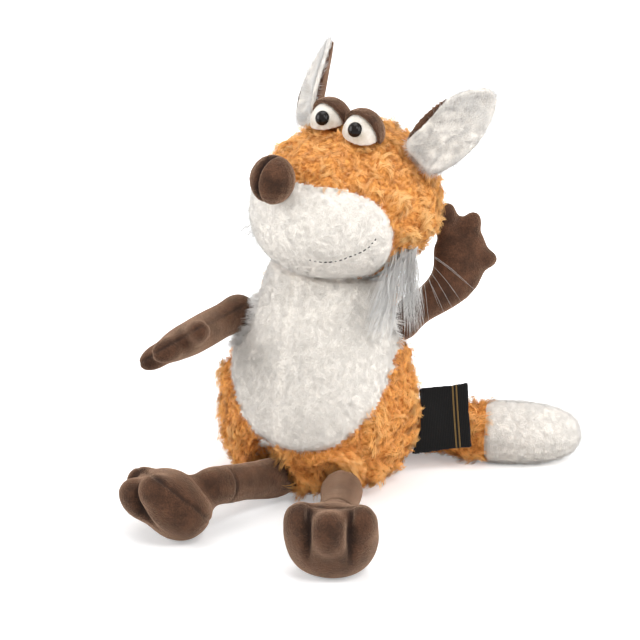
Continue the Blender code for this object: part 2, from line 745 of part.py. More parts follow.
def mouth(tree):
    """The embroidered smile, a thread laid on the muzzle."""
    lift = THREAD_RADIUS + GAP * 1.5
    stops = [on_head(tree, turn, dip) for turn, dip in MOUTH_ANGLES]
    line = smooth_line([place + normal * lift for place, normal in stops], 4)
    seated = []
    for point in line:
        place, normal, _, _ = tree.find_nearest(point)
        seated.append(place + (point - place).normalized() * lift)
    curve = bpy.data.curves.new("mouth_stitching", "CURVE")
    curve.dimensions = "3D"
    curve.bevel_depth = THREAD_RADIUS
    curve.bevel_resolution = 1
    curve.use_fill_caps = True
    spline = curve.splines.new("POLY")
    spline.points.add(len(seated) - 1)
    for knot, place in zip(spline.points, seated):
        knot.co = (*place, 1)
    made = bpy.data.objects.new("mouth_stitching", curve)
    FOX.objects.link(made)
    curve.materials.append(material("black_thread"))
    made.parent = EMPTIES["head"]
    made.matrix_parent_inverse = Matrix.Translation(EMPTIES["head"].location).inverted()


def ear_frame(side):
    sign = SIDES[side]
    base = head_point(EAR_BASE[0], EAR_BASE[1] * sign, EAR_BASE[2])
    tip = head_point(EAR_TIP[0], EAR_TIP[1] * sign, EAR_TIP[2])
    face = head_way(math.cos(EAR_FACE_TURN), math.sin(EAR_FACE_TURN) * sign, 0)
    return facing(base, tip - base, face)


def ear_layer(name, side, wall, sign):
    """One cupped fabric layer of an ear, thickened to the back (-1) or to the front (1)."""
    bm = bmesh.new()
    columns, rows = 4, len(EAR_OUTLINE_SHARES) - 1
    bmesh.ops.create_grid(bm, x_segments=columns, y_segments=rows, size=0.5)
    total = EAR_LENGTH + EAR_SINK
    for vert in bm.verts:
        along, width = EAR_OUTLINE_SHARES[round((vert.co.y + 0.5) * rows)]
        cup = EAR_CUP * (2 * vert.co.x) ** 2 * width * (1 - EAR_CUP_FADE * along)
        vert.co = Vector((vert.co.x * width * EAR_WIDTH, cup + sign * GAP / 2, along * total - EAR_SINK))
    bmesh.ops.transform(bm, matrix=ear_frame(side), verts=bm.verts)
    layer = object_from(bm, name, closed=False)
    smooth = layer.modifiers.new("smooth", "SUBSURF")
    smooth.levels = smooth.render_levels = 1
    thick = layer.modifiers.new("wall", "SOLIDIFY")
    thick.thickness = wall
    thick.offset = -sign
    return layer


def ear(side, clear_head):
    back = ear_layer(side + "_ear_back_form", side, EAR_BACK_WALL, -1)
    piece(cut(back, clear_head), side + "_ear_back", "brown_velboa", side + "_ear")
    front = ear_layer(side + "_ear_front_form", side, EAR_FRONT_WALL, 1)
    piece(cut(front, clear_head), side + "_ear_inner", "white_plush", side + "_ear")


def tuft(side, tree, clear_head):
    """The long pile that hangs from the cheek seam."""
    turn, dip = TUFT_ANGLES[side]
    place, normal = on_head(tree, turn, dip)
    frame = facing(place - Vector(TUFT_WAYS[side]).normalized() * (TUFT_LENGTH * TUFT_SET_BACK_SHARE), TUFT_WAYS[side], normal)
    rings = [
        (along * TUFT_LENGTH, 0, width * TUFT_WIDTH / 2, width * TUFT_THICKNESS / 2, 0)
        for along, width in TUFT_RING_SHARES
    ]
    made = stuffed_form(side + "_tuft_form", rings, (-TUFT_THICKNESS / 2, TUFT_LENGTH), frame, 6)
    piece(cut(made, clear_head), side + "_cheek_tuft", "white_plush", "head")


def limb(name, form, body, *extras):
    """A skin, open at its root, and the filling inside it; extras are sewn on its end."""
    skin = joined(form(name + "_form"), *extras)
    lining = form(name + "_lining", inset=LIMB_WALL, root_reach=OVERRUN / 2)
    piece(cut(skin, lining), name + "_skin", "brown_velboa", body)
    filling = form(name + "_filling_form", inset=LIMB_WALL + GAP, root_reach=OVERRUN / 2)
    piece(common(filling, form(name + "_filling_end")), name + "_filling", "stuffing", body)


def arm(side):
    def form(name, **sizes):
        return arm_form(name, side, **sizes)

    limb(side + "_arm", form, side + "_arm", *fingers(side))


def leg(side):
    def form(name, **sizes):
        return leg_form(name, side, **sizes)

    limb(side + "_leg", form, side + "_leg")


def foot(side, floor):
    socket = ball(side + "_ankle_space", ANKLE_RADIUS + JOINT_GAP, Matrix.Translation(ankle_place(side)))
    leg_space = leg_form(side + "_shin_space", side, -JOINT_GAP)
    lining = foot_form(side + "_foot_lining", side, LIMB_WALL)
    skin = joined(foot_form(side + "_foot_form", side), *toes(side))
    piece(cut(skin, lining, socket, leg_space, floor), side + "_foot_skin", "brown_velboa", side + "_foot")
    filling = foot_form(side + "_foot_filling_form", side, LIMB_WALL + GAP)
    piece(cut(filling, socket, leg_space, floor), side + "_foot_filling", "stuffing", side + "_foot")


def tail(floor):
    """Orange root, white tip and one stuffing through both."""
    seam = TAIL_SEAM_SHARE * TAIL_LENGTH
    wide = TAIL_LENGTH
    lining = tail_form("tail_lining", TAIL_WALL, OVERRUN / 2)
    past = block("past_tail_seam", (-wide, -wide, seam), (wide, wide, wide * 2), tail_frame())
    before = block("before_tail_seam", (-wide, -wide, -wide), (wide, wide, seam + GAP), tail_frame())
    root = cut(tail_form("tail_root_form"), lining, past, floor)
    piece(root, "tail_root_skin", "orange_plush", "tail")
    tip = cut(tail_form("tail_tip_form"), lining, before, floor)
    piece(tip, "tail_tip_skin", "white_plush", "tail")
    filling = tail_form("tail_filling_form", TAIL_WALL + GAP, OVERRUN / 2)
    piece(common(filling, tail_form("tail_filling_end")), "tail_filling", "stuffing", "tail")


def label_frame():
    """On the side seam: local X runs out from the trunk and local Z up the sewn edge."""
    height = LABEL_BOTTOM + LABEL_HEIGHT / 2
    middle = trunk_middle(height)
    turn = Matrix.Rotation(LABEL_TURN, 4, "Z") @ Matrix.Rotation(-LABEL_TILT, 4, "Y")
    return Matrix.Translation((middle.x + TRUNK_RADIUS * LABEL_SEAM_SHARE, 0, height)) @ turn


def label():
    half = LABEL_HEIGHT / 2
    made = block(
        "label_form",
        (-LABEL_HEM, -LABEL_THICKNESS / 2, -half),
        (LABEL_WIDTH, LABEL_THICKNESS / 2, half),
        label_frame(),
    )
    piece(cut(made, trunk_form("label_seat", -JOINT_GAP)), "side_label", "label_satin", "label")


def build():
    body_frames()
    floor = floor_block("floor")
    trunk(floor)
    head()
    clear_head = head_form("clear_head", -GAP)
    ear_seat = head_form("ear_seat", -JOINT_GAP)
    tree = surface_tree(head_form("head_surface"))
    clear_sides = {sign: half_space(f"{side}_half", sign) for side, sign in SIDES.items()}
    nose(clear_head)
    mouth(tree)
    for side in SIDES:
        eye(side, clear_head, clear_sides)
        ear(side, ear_seat)
        tuft(side, tree, clear_head)
        arm(side)
        leg(side)
        foot(side, floor)
    tail(floor)
    label()


build()
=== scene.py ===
# %% [markdown]
# # A plush fox in its fur
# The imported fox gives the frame: where every form lies, and which body carries it.  This lesson
# dresses that frame.  Long pile grows on the trunk, the head and the tail, short velboa covers the
# limbs, and the face gets its eyes, lids, nose and stitched mouth.

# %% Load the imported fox
import json
import math

import bmesh
import bpy
import numpy as np
from mathutils import Matrix, Vector, noise
from mathutils.bvhtree import BVHTree


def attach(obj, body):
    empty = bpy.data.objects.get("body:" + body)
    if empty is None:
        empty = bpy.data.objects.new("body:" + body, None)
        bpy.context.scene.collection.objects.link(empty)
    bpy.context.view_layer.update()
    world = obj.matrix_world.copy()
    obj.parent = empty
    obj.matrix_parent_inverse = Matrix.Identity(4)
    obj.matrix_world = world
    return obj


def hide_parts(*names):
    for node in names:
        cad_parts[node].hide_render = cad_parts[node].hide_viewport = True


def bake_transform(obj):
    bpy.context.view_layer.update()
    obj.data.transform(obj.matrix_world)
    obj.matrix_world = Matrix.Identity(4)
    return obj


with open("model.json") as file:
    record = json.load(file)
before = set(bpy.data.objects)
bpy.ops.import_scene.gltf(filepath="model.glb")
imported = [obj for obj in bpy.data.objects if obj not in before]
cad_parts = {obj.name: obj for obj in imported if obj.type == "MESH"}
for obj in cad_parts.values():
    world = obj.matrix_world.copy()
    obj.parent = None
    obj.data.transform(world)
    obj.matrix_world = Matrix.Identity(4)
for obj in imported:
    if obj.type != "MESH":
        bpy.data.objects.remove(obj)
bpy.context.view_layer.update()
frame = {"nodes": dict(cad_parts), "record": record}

# %% [markdown]
# ## Camera, light and floor
# The toy was photographed on a white sweep with a long lens, a little from above and from its left.
# The camera goes where the fitted view puts it.  Broad area lamps stand in for studio soft boxes,
# and the floor is white only to the camera, so the toy is lit no more than it should be.  Near the
# toy that white glow fades, which paints a grey shade on the floor round it.

# %% Camera
MM = 0.001
CAMERA_AZIMUTH = math.radians(10)
CAMERA_ELEVATION = math.radians(17)
CAMERA_DISTANCE = 0.95
CAMERA_TARGET = Vector((2.4, 0, 98)) * MM
SENSOR_WIDTH = 36
VIEW_WIDTH = 384 * MM


def in_scene(name, data):
    """A new object for some data, linked to the scene."""
    made = bpy.data.objects.new(name, data)
    bpy.context.scene.collection.objects.link(made)
    return made


def set_camera():
    data = bpy.data.cameras.new("camera")
    data.sensor_width = SENSOR_WIDTH
    data.lens = SENSOR_WIDTH * CAMERA_DISTANCE / VIEW_WIDTH
    camera = in_scene("camera", data)
    aside, forward, up = math.sin(CAMERA_AZIMUTH), math.cos(CAMERA_AZIMUTH), math.tan(CAMERA_ELEVATION)
    back = Vector((aside, -forward, up)).normalized()
    camera.location = CAMERA_TARGET + back * CAMERA_DISTANCE
    camera.rotation_euler = back.to_track_quat("Z", "Y").to_euler()
    bpy.context.scene.camera = camera
    return camera


camera = set_camera()
bpy.context.scene.view_settings.view_transform = "Standard"
print("lens", round(camera.data.lens, 1), "mm")

# %% Node helpers
# add_node adds a node, sets its settings and fills or links its inputs by name.  work_out is one step
# of arithmetic, whose inputs come in order because they share a name.


def feed(tree, value, socket):
    """Link another node's socket, or set a plain value."""
    if isinstance(value, bpy.types.NodeSocket):
        tree.links.new(value, socket)
    else:
        socket.default_value = value


def add_node(tree, kind, inputs=(), **settings):
    node = tree.nodes.new(kind)
    for name, value in settings.items():
        setattr(node, name, value)
    for name, value in dict(inputs).items():
        feed(tree, value, next(s for s in node.inputs if s.enabled and name == s.name))
    return node


def output(node, name=None):
    return next(s for s in node.outputs if s.enabled and name in (None, s.name))


def work_out(tree, operation, *values):
    node = add_node(tree, "ShaderNodeMath", operation=operation)
    for value, socket in zip(values, node.inputs):
        feed(tree, value, socket)
    return output(node)


# %% Lamps, world and floor
LAMPS = {
    "left": {"place": (-1.25, -0.55, 0.60), "watts": 13.5, "size": 0.9},
    "right": {"place": (1.25, -0.35, 0.65), "watts": 10.5, "size": 0.9},
    "top": {"place": (-0.05, 0.10, 1.50), "watts": 9.5, "size": 1.0},
    "front": {"place": (0.58, -0.80, 1.15), "watts": 7.0, "size": 0.35},
}
WORLD_LEVEL = 0.40
PURE_WHITE = (1, 1, 1, 1)
FLOOR_COLOUR = (0.90, 0.90, 0.90, 1)
FLOOR_LIFT = 0.30
FLOOR_SIZE = 12.0
WHITE_FROM = 0.12
WHITE_BY = 0.48


def light_studio():
    for name, facts in LAMPS.items():
        data = bpy.data.lights.new(name, "AREA")
        data.energy = facts["watts"]
        data.size = facts["size"]
        lamp = in_scene(name, data)
        lamp.location = facts["place"]
        lamp.rotation_euler = (Vector(facts["place"]) - CAMERA_TARGET).to_track_quat("Z", "Y").to_euler()


def set_world():
    """Camera, glossy and transmission rays see the backdrop as it is; the rest sees a dimmer one."""
    world = bpy.data.worlds.new("studio")
    world.use_nodes = True
    tree = world.node_tree
    tree.nodes.clear()
    rays = add_node(tree, "ShaderNodeLightPath").outputs
    shiny = work_out(tree, "MAXIMUM", rays["Is Glossy Ray"], rays["Is Transmission Ray"])
    seen = work_out(tree, "MAXIMUM", rays["Is Camera Ray"], shiny)
    level = add_node(tree, "ShaderNodeMapRange", {"Value": seen, "To Min": WORLD_LEVEL, "To Max": 1.0})
    light = add_node(tree, "ShaderNodeBackground", {"Color": PURE_WHITE, "Strength": output(level)})
    add_node(tree, "ShaderNodeOutputWorld", {"Surface": output(light)})
    bpy.context.scene.world = world


def mesh_from(bm, name):
    """The mesh that a bmesh holds.  The bmesh is freed."""
    mesh = bpy.data.meshes.new(name)
    bm.to_mesh(mesh)
    bm.free()
    return mesh


def lay_floor():
    bm = bmesh.new()
    bmesh.ops.create_grid(bm, x_segments=2, y_segments=2, size=FLOOR_SIZE / 2)
    floor = in_scene("floor", mesh_from(bm, "floor"))
    made = bpy.data.materials.new("white_sweep")
    made.use_nodes = True
    tree = made.node_tree
    tree.nodes.clear()
    matt = add_node(tree, "ShaderNodeBsdfDiffuse", {"Color": FLOOR_COLOUR})
    place = add_node(tree, "ShaderNodeTexCoord").outputs["Object"]
    away = add_node(tree, "ShaderNodeVectorMath", {"Vector": place}, operation="LENGTH")
    # The camera-only glow is weak near the toy and full far off: a painted grey shade on the floor round the
    # toy.
    reach = {"From Min": WHITE_FROM, "From Max": WHITE_BY, "To Min": FLOOR_LIFT, "To Max": 1.0}
    far = add_node(
        tree, "ShaderNodeMapRange", {"Value": output(away), **reach}, interpolation_type="SMOOTHSTEP"
    )
    rays = add_node(tree, "ShaderNodeLightPath").outputs
    lift = work_out(tree, "MULTIPLY", rays["Is Camera Ray"], output(far))
    glow = add_node(tree, "ShaderNodeEmission", {"Color": PURE_WHITE, "Strength": lift})
    both = add_node(tree, "ShaderNodeAddShader")
    for shader, socket in zip((matt, glow), both.inputs):
        feed(tree, output(shader), socket)
    add_node(tree, "ShaderNodeOutputMaterial", {"Surface": output(both)})
    floor.data.materials.append(made)


light_studio()
set_world()
lay_floor()
print("lamps:", {name: facts["watts"] for name, facts in LAMPS.items()})

# %% [markdown]
# ## Cloth finishes
# Long pile is painted lighter at its tips, where light reaches, and painted darker at its roots,
# where shade falls.  Each lock carries two numbers, how far along it a point is and its own random
# shade of colour, and the cloth under it a third, its heap shade: painted light on a heap and painted
# shade in the creases between heaps.  The finish reads all three.  Velboa has a pile too short to
# model, so it is a fine grain in colour and bump with a soft sheen, and painted shade in its folds.

# %% A plain cloth shader
# In each pile colour the root is painted shade deep in the pile and the tip painted light on its ends.
ORANGE = {"root": (0.36, 0.090, 0.011), "middle": (0.92, 0.43, 0.115), "tip": (0.98, 0.57, 0.21)}
# Trunk and tail wear the same orange plush as the head; this copy is made redder as painted shade, for the
# shade low on the body.
SHADE_REDDENED_ORANGE = {"root": (0.36, 0.078, 0.010), "middle": (0.98, 0.41, 0.095), "tip": (1.0, 0.53, 0.17)}
WHITE = {"root": (0.86, 0.80, 0.72), "middle": (0.95, 0.90, 0.83), "tip": (0.98, 0.95, 0.90)}
# The cheek tufts get a lighter copy of the white, painted light against the shade they hang in under the head.
SHADE_LIFTED_WHITE = {"root": (0.94, 0.91, 0.86), "middle": (0.98, 0.96, 0.92), "tip": (0.99, 0.97, 0.94)}
# The ear pile's grey-brown roots are painted shade in the gaps between its locks.
EAR_WHITE = {"root": (0.44, 0.37, 0.31), "middle": (0.88, 0.85, 0.80), "tip": (0.98, 0.97, 0.95)}
# fold is painted shade in seams, toe clefts and the nose groove.
BROWN = {"fold": (0.014, 0.005, 0.003), "low": (0.032, 0.013, 0.006), "high": (0.122, 0.053, 0.027)}
BROWN_SHEEN = (0.85, 0.56, 0.38)
FLEECE = {"low": (0.64, 0.57, 0.47), "high": (0.82, 0.77, 0.70)}


def new_finish(name, roughness, sheen=0.0, tint=(1, 1, 1), specular=0.25, sheen_roughness=0.45):
    made = bpy.data.materials.new(name)
    made.use_nodes = True
    shader = made.node_tree.nodes["Principled BSDF"]
    shader.inputs["Roughness"].default_value = roughness
    shader.inputs["Specular IOR Level"].default_value = specular
    shader.inputs["Sheen Weight"].default_value = sheen
    shader.inputs["Sheen Roughness"].default_value = sheen_roughness
    shader.inputs["Sheen Tint"].default_value = (*tint, 1)
    return made, made.node_tree, shader


def ramp(tree, factor, *stops):
    """A colour ramp: stops are (place, colour)."""
    node = add_node(tree, "ShaderNodeValToRGB", {"Fac": factor})
    band = node.color_ramp
    while len(band.elements) < len(stops):
        band.elements.new(0.5)
    for element, (place, colour) in zip(band.elements, stops):
        element.position = place
        element.color = (*colour, 1)
    return node.outputs["Color"]


def paint(tree, shader, factor, *stops):
    feed(tree, ramp(tree, factor, *stops), shader.inputs["Base Color"])


def grain(tree, scale, detail=3.0, roughness=0.6):
    place = add_node(tree, "ShaderNodeTexCoord").outputs["Object"]
    facts = {"Vector": place, "Scale": scale, "Detail": detail, "Roughness": roughness}
    return output(add_node(tree, "ShaderNodeTexNoise", facts))


def bump(tree, shader, height, distance):
    node = add_node(tree, "ShaderNodeBump", {"Height": height, "Distance": distance})
    feed(tree, output(node), shader.inputs["Normal"])


def carried(tree, name):
    """A number that the mesh carries on its points."""
    return add_node(tree, "ShaderNodeAttribute", attribute_name=name).outputs["Fac"]


# %% Long pile and the cloth under it
TIP_SHARE = 0.40
HEAP_SHARE = 0.45
SHADE_SHARE = 0.15
PILE_REACH = 2.0 * MM


def pile_finish(name, colours, contrast, lit_through):
    """Light passes through thin fibre, so the pile has some subsurface light in it."""
    made, tree, shader = new_finish(name, 0.7, 0.15, colours["middle"], specular=0.10)
    shader.inputs["Subsurface Weight"].default_value = lit_through
    shader.inputs["Subsurface Radius"].default_value = (1, 1, 1)
    shader.inputs["Subsurface Scale"].default_value = PILE_REACH
    total = carried(tree, "shade")
    for attribute, share in (("tip", TIP_SHARE), ("heap_shade", HEAP_SHARE)):
        total = work_out(tree, "MULTIPLY_ADD", carried(tree, attribute), share / SHADE_SHARE, total)
    whole = (TIP_SHARE + HEAP_SHARE) / SHADE_SHARE + 1
    spread = {"Value": total, "From Max": whole, "To Min": 0.5 - contrast, "To Max": 0.5 + contrast}
    level = output(add_node(tree, "ShaderNodeMapRange", spread))
    # The ramp paints shade at the roots and in the creases between heaps, and light at the tips and on the
    # heaps.
    paint(tree, shader, level, (0.05, colours["root"]), (0.5, colours["middle"]), (0.95, colours["tip"]))
    return made


def backing_finish(name, colours):
    made, tree, shader = new_finish(name, 0.95, 0.2, colours["middle"])
    # Between the locks the cloth is painted in patches of the pile's root colour, the painted shade deep in the
    # pile, and its middle colour.
    paint(tree, shader, grain(tree, 400), (0.3, colours["root"]), (0.7, colours["middle"]))
    bump(tree, shader, grain(tree, 900), 0.6 * MM)
    return made


orange_pile = pile_finish("orange_pile", ORANGE, contrast=0.62, lit_through=0.12)
# A redder copy of the orange pile, as painted shade on the trunk and tail.
shade_reddened_orange_pile = pile_finish("shade_reddened_orange_pile", SHADE_REDDENED_ORANGE, contrast=0.62, lit_through=0.12)
shade_lifted_tuft_pile = pile_finish("shade_lifted_tuft_pile", SHADE_LIFTED_WHITE, contrast=0.45, lit_through=0.6)
white_pile = pile_finish("white_pile", WHITE, contrast=0.45, lit_through=0.6)
ear_pile = pile_finish("ear_pile", EAR_WHITE, contrast=0.70, lit_through=0.6)
orange_backing = backing_finish("orange_backing", ORANGE)
white_backing = backing_finish("white_backing", WHITE)
print("pile finishes:", orange_pile.name, white_pile.name)

# %% Velboa, fleece, beads, thread and stuffing
FOLD_SHADE = 0.22


def velboa_finish():
    """Short brown pile: painted shade in its folds, seams and clefts, with a speckle of lit fibre ends."""
    made, tree, shader = new_finish("brown_velboa", 0.85, 0.9, BROWN_SHEEN, sheen_roughness=0.35)
    speckle = grain(tree, 1400, 2.0, 0.8)
    mixed = work_out(tree, "MULTIPLY", grain(tree, 100, 4.0), speckle)
    lit = work_out(tree, "MULTIPLY_ADD", carried(tree, "crease"), -FOLD_SHADE, mixed)
    paint(tree, shader, lit, (0.04, BROWN["fold"]), (0.16, BROWN["low"]), (0.40, BROWN["high"]))
    bump(tree, shader, speckle, 0.6 * MM)
    return made


def fleece_finish():
    made, tree, shader = new_finish("eye_fleece", 0.95, 0.4)
    paint(tree, shader, grain(tree, 160, 4.0), (0.35, FLEECE["low"]), (0.6, FLEECE["high"]))
    bump(tree, shader, grain(tree, 1300, 3.0, 0.8), 0.5 * MM)
    return made


def bead_finish():
    made, tree, shader = new_finish("black_bead", 0.03, specular=0.18)
    paint(tree, shader, grain(tree, 90), (0.0, (0.004, 0.004, 0.004)), (1.0, (0.014, 0.009, 0.007)))
    return made


def thread_finish(name, colour, roughness):
    """Thread catches light on its strands, where it is three times as light."""
    made, tree, shader = new_finish(name, roughness, 0.2)
    lighter = tuple(min(1.0, part * 3) for part in colour)
    paint(tree, shader, grain(tree, 2500), (0.3, colour), (0.8, lighter))
    bump(tree, shader, grain(tree, 2500), 0.2 * MM)
    return made


def loose_finish(name, low, high, scale):
    made, tree, shader = new_finish(name, 0.95)
    paint(tree, shader, grain(tree, scale), (0.3, low), (0.7, high))
    bump(tree, shader, grain(tree, scale), 0.8 * MM)
    return made


velboa = velboa_finish()
fleece = fleece_finish()
bead = bead_finish()
mouth_thread = thread_finish("black_thread", (0.012, 0.010, 0.010), 0.6)
fibre = loose_finish("stuffing_fibre", (0.70, 0.70, 0.68), (0.90, 0.90, 0.89), 300)
pellets = loose_finish("pellet_grain", (0.40, 0.38, 0.33), (0.66, 0.64, 0.58), 500)
washer_plastic = loose_finish("washer_plastic", (0.60, 0.60, 0.58), (0.74, 0.74, 0.71), 200)
for node in frame["nodes"].values():
    node.data.materials.clear()
    inside = washer_plastic if "washer" in node.name else pellets if node.name == "pellet_bag" else fibre
    node.data.materials.append(inside)

# %% Satin for the label
LABEL_TURN = math.radians(18)
LABEL_TILT = math.radians(5)
LABEL_SEAM = Vector((63.1, 0, 37.0)) * MM
LINE_PLACES = (22.0 * MM, 24.2 * MM)
LINE_HALF_WIDTH = 0.42 * MM
RIB_SCALE = 420.0
THREAD_SCALE = 300.0
SATIN = ((0.0, (0.002, 0.002, 0.002)), (1.0, (0.010, 0.009, 0.009)))
GOLD = ((0.0, (0.12, 0.07, 0.02)), (1.0, (0.42, 0.28, 0.11)))


def satin_finish():
    """Black woven ribbon with fine ribs, and two plain gold lines woven along it."""
    made, tree, shader = new_finish("label_satin", 0.38, 0.05, specular=0.12)
    place = add_node(tree, "ShaderNodeTexCoord").outputs["Object"]
    seat = {"Vector": place, "Location": LABEL_SEAM, "Rotation": (0, -LABEL_TILT, LABEL_TURN)}
    turned = output(add_node(tree, "ShaderNodeMapping", seat, vector_type="TEXTURE"))
    ribs, threads = (
        add_node(tree, "ShaderNodeTexWave", {"Vector": turned, "Scale": scale}, bands_direction=way)
        for way, scale in (("Z", RIB_SCALE), ("X", THREAD_SCALE))
    )
    woven = work_out(tree, "MULTIPLY", ribs.outputs["Fac"], threads.outputs["Fac"])
    out = add_node(tree, "ShaderNodeSeparateXYZ", {"Vector": turned}).outputs["X"]
    lines = [work_out(tree, "COMPARE", out, place, LINE_HALF_WIDTH) for place in LINE_PLACES]
    colours = {
        "Factor": work_out(tree, "MAXIMUM", *lines),
        "A": ramp(tree, woven, *SATIN),
        "B": ramp(tree, woven, *GOLD),
    }
    mixed = add_node(tree, "ShaderNodeMix", colours, data_type="RGBA")
    feed(tree, output(mixed), shader.inputs["Base Color"])
    bump(tree, shader, woven, 0.12 * MM)
    return made


satin = satin_finish()
print("finishes:", len(bpy.data.materials))

# %% [markdown]
# ## Turning CAD solids into sewn forms
# A sewn body is one swelling surface with no sharp edge.  Copies of a body's solids, skin and
# stuffing together, are remeshed as one closed form and smoothed, which rounds the creases between
# fingers and toes as stuffing does.  Pressing the form in afterwards, a little here and more there,
# gives the seams, the dimples and the room that long pile needs.

# %% Helpers for pieces


def new_piece(name, mesh, finish):
    return dressed(in_scene(name, mesh), finish)


def dressed(piece, finish):
    """Give a piece its one finish and smooth shading."""
    piece.data.materials.clear()
    piece.data.materials.append(finish)
    piece.data.shade_smooth()
    return piece


def evaluated_mesh(thing):
    bpy.context.view_layer.update()
    return bpy.data.meshes.new_from_object(thing.evaluated_get(bpy.context.evaluated_depsgraph_get()))


def hand_over(piece, body, colour, *nodes, fill=None):
    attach(piece, body)
    if nodes:
        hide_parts(*nodes)


def cad_mesh(*nodes):
    """The CAD nodes as one bmesh with their loose triangles joined."""
    bm = bmesh.new()
    for node in nodes:
        bm.from_mesh(frame["nodes"][node].data)
    bmesh.ops.remove_doubles(bm, verts=bm.verts, dist=0.002 * MM)
    return bm


def cad_points(node):
    bm = cad_mesh(node)
    points = np.array([vert.co[:] for vert in bm.verts])
    bm.free()
    return points


def cad_tree(*nodes):
    """A search tree over CAD nodes, for distances and nearest points."""
    bm = cad_mesh(*nodes)
    tree = BVHTree.FromBMesh(bm)
    bm.free()
    return tree


def facing(place, along, face):
    """A frame with local Z along a way and local Y turned as near to a face as it can be."""
    along, face = Vector(along).normalized(), Vector(face)
    depth = (face - along * face.dot(along)).normalized()
    turn = Matrix((depth.cross(along), depth, along)).transposed()
    return Matrix.Translation(place) @ turn.to_4x4()


def keep_faces(mesh, wanted, lift=0.0):
    """Delete the faces that aren't wanted and move the rest out by lift."""
    bm = bmesh.new()
    bm.from_mesh(mesh)
    bmesh.ops.delete(bm, geom=[face for face in bm.faces if not wanted(face)], context="FACES")
    for vert in bm.verts:
        vert.co += vert.normal * lift
    bm.to_mesh(mesh)
    bm.free()
    return mesh


# %% One closed form from several solids
# A voxel, in mm, is about a third of the smallest thing that has to stay, and the rounds of
# smoothing take its steps away.  Feet get many rounds: their toes are rounded before the clefts.
VOXELS_AND_ROUNDS = {
    "trunk": (2.0, 4),
    "head": (1.7, 3),
    "tail": (1.5, 2),
    "stuffing": (3.0, 3),
    "ankle": (1.2, 3),
    "arm": (1.15, 3),
    "leg": (1.15, 3),
    "foot": (1.15, 85),
    "ear_back": (0.8, 2),
    "ear_front": (0.7, 2),
    "nose": (0.7, 3),
    "eye": (0.7, 2),
    "bead": (0.25, 4),
    "label": (0.55, 1),
}


def largest_part(mesh):
    """Keep the biggest connected part of a mesh."""
    bm = bmesh.new()
    bm.from_mesh(mesh)
    left, parts = set(bm.verts), []
    while left:
        part, front = set(), [left.pop()]
        while front:
            vert = front.pop()
            part.add(vert)
            for edge in vert.link_edges:
                other = edge.other_vert(vert)
                if other in left:
                    left.discard(other)
                    front.append(other)
        parts.append(part)
    parts.sort(key=len)
    for part in parts[:-1]:
        bmesh.ops.delete(bm, geom=list(part), context="VERTS")
    bm.to_mesh(mesh)
    bm.free()
    return mesh


def add_remesh(form, voxel):
    remesh = form.modifiers.new("one_form", "REMESH")
    remesh.mode = "VOXEL"
    remesh.voxel_size = voxel * MM


def smoothed(form, finish, rounds):
    """Smooth a form, make its modifiers real and keep its largest part."""
    soften = form.modifiers.new("soften", "SMOOTH")
    soften.factor = 0.5
    soften.iterations = rounds
    mesh = largest_part(evaluated_mesh(form))
    form.modifiers.clear()
    form.data = mesh
    return dressed(form, finish)


def sewn_form(name, nodes, finish, kind):
    voxel, rounds = VOXELS_AND_ROUNDS[kind]
    form = new_piece(name, mesh_from(cad_mesh(*nodes), name), finish)
    add_remesh(form, voxel)
    return smoothed(form, finish, rounds)


def keep_values(mesh, name, values, kind="FLOAT"):
    """Store a number or a vector on each point, for finishes and trees to read."""
    field = "vector" if kind == "FLOAT_VECTOR" else "value"
    mesh.attributes.new(name, kind, "POINT").data.foreach_set(field, values)


def press(form, depth):
    """Move every point in along its normal by depth(point, normal), out where that is negative.

    A depth may come with a crease from 0 to 1, which the velboa finish reads to paint shade into the fold.
    """
    mesh = form.data
    moves, creases = [], []
    for vert in mesh.vertices:
        given = depth(vert.co, vert.normal)
        amount, crease = given if isinstance(given, tuple) else (given, 0.0)
        moves.append(vert.normal * -amount)
        creases.append(crease)
    for vert, move in zip(mesh.vertices, moves):
        vert.co += move
    keep_values(mesh, "crease", creases)
    mesh.update()
    return form


def bell(distance, width):
    return math.exp(-((distance / width) ** 2))


def ease(value, low, high):
    """0 below low, 1 above high and smooth between."""
    share = min(1.0, max(0.0, (value - low) / (high - low)))
    return share * share * (3 - 2 * share)


def split_by_node(form, names, nodes):
    """Give each face to the CAD node it lies nearest to, and make one piece of each share."""
    trees = [cad_tree(node) for node in nodes]
    owners = []
    for face in form.data.polygons:
        reach = [tree.find_nearest(face.center)[3] for tree in trees]
        owners.append(reach.index(min(reach)))
    made = []
    for index, name in enumerate(names):
        share = keep_faces(form.data.copy(), lambda face: owners[face.index] == index)
        made.append(new_piece(name, share, form.data.materials[0]))
    bpy.data.objects.remove(form, do_unlink=True)
    return made


# %% Plush bodies: trunk, head and tail
# Orange pile is long and curly and white pile short, so the cloth lies deeper under the orange.
ORANGE_DEPTH = 3.2 * MM
WHITE_DEPTH = 1.3 * MM
SEAM_DEPTH = 1.3 * MM
SEAM_WIDTH = 2.2 * MM
BELLY_SEAM_DEPTH = 0.8 * MM
CURL_SIZE = 12 * MM
CURL_RELIEF = 2.2 * MM


def curls(point):
    """Puffy heaps with creases between them, about -1 to 1: noise folded up at its zero line."""
    broad = abs(noise.noise(point / CURL_SIZE))
    fine = noise.noise(point / (CURL_SIZE * 0.42) + Vector((7, 3, 5)))
    return 3.0 * broad - 0.75 + 0.45 * fine


def belly_line(point):
    """1 on the seam down the middle of the belly panel, falling to 0 beside it."""
    return bell(point.x - (-15.3 * MM + 0.065 * point.z), 1.8 * MM) * ease(point.z, 28 * MM, 50 * MM)


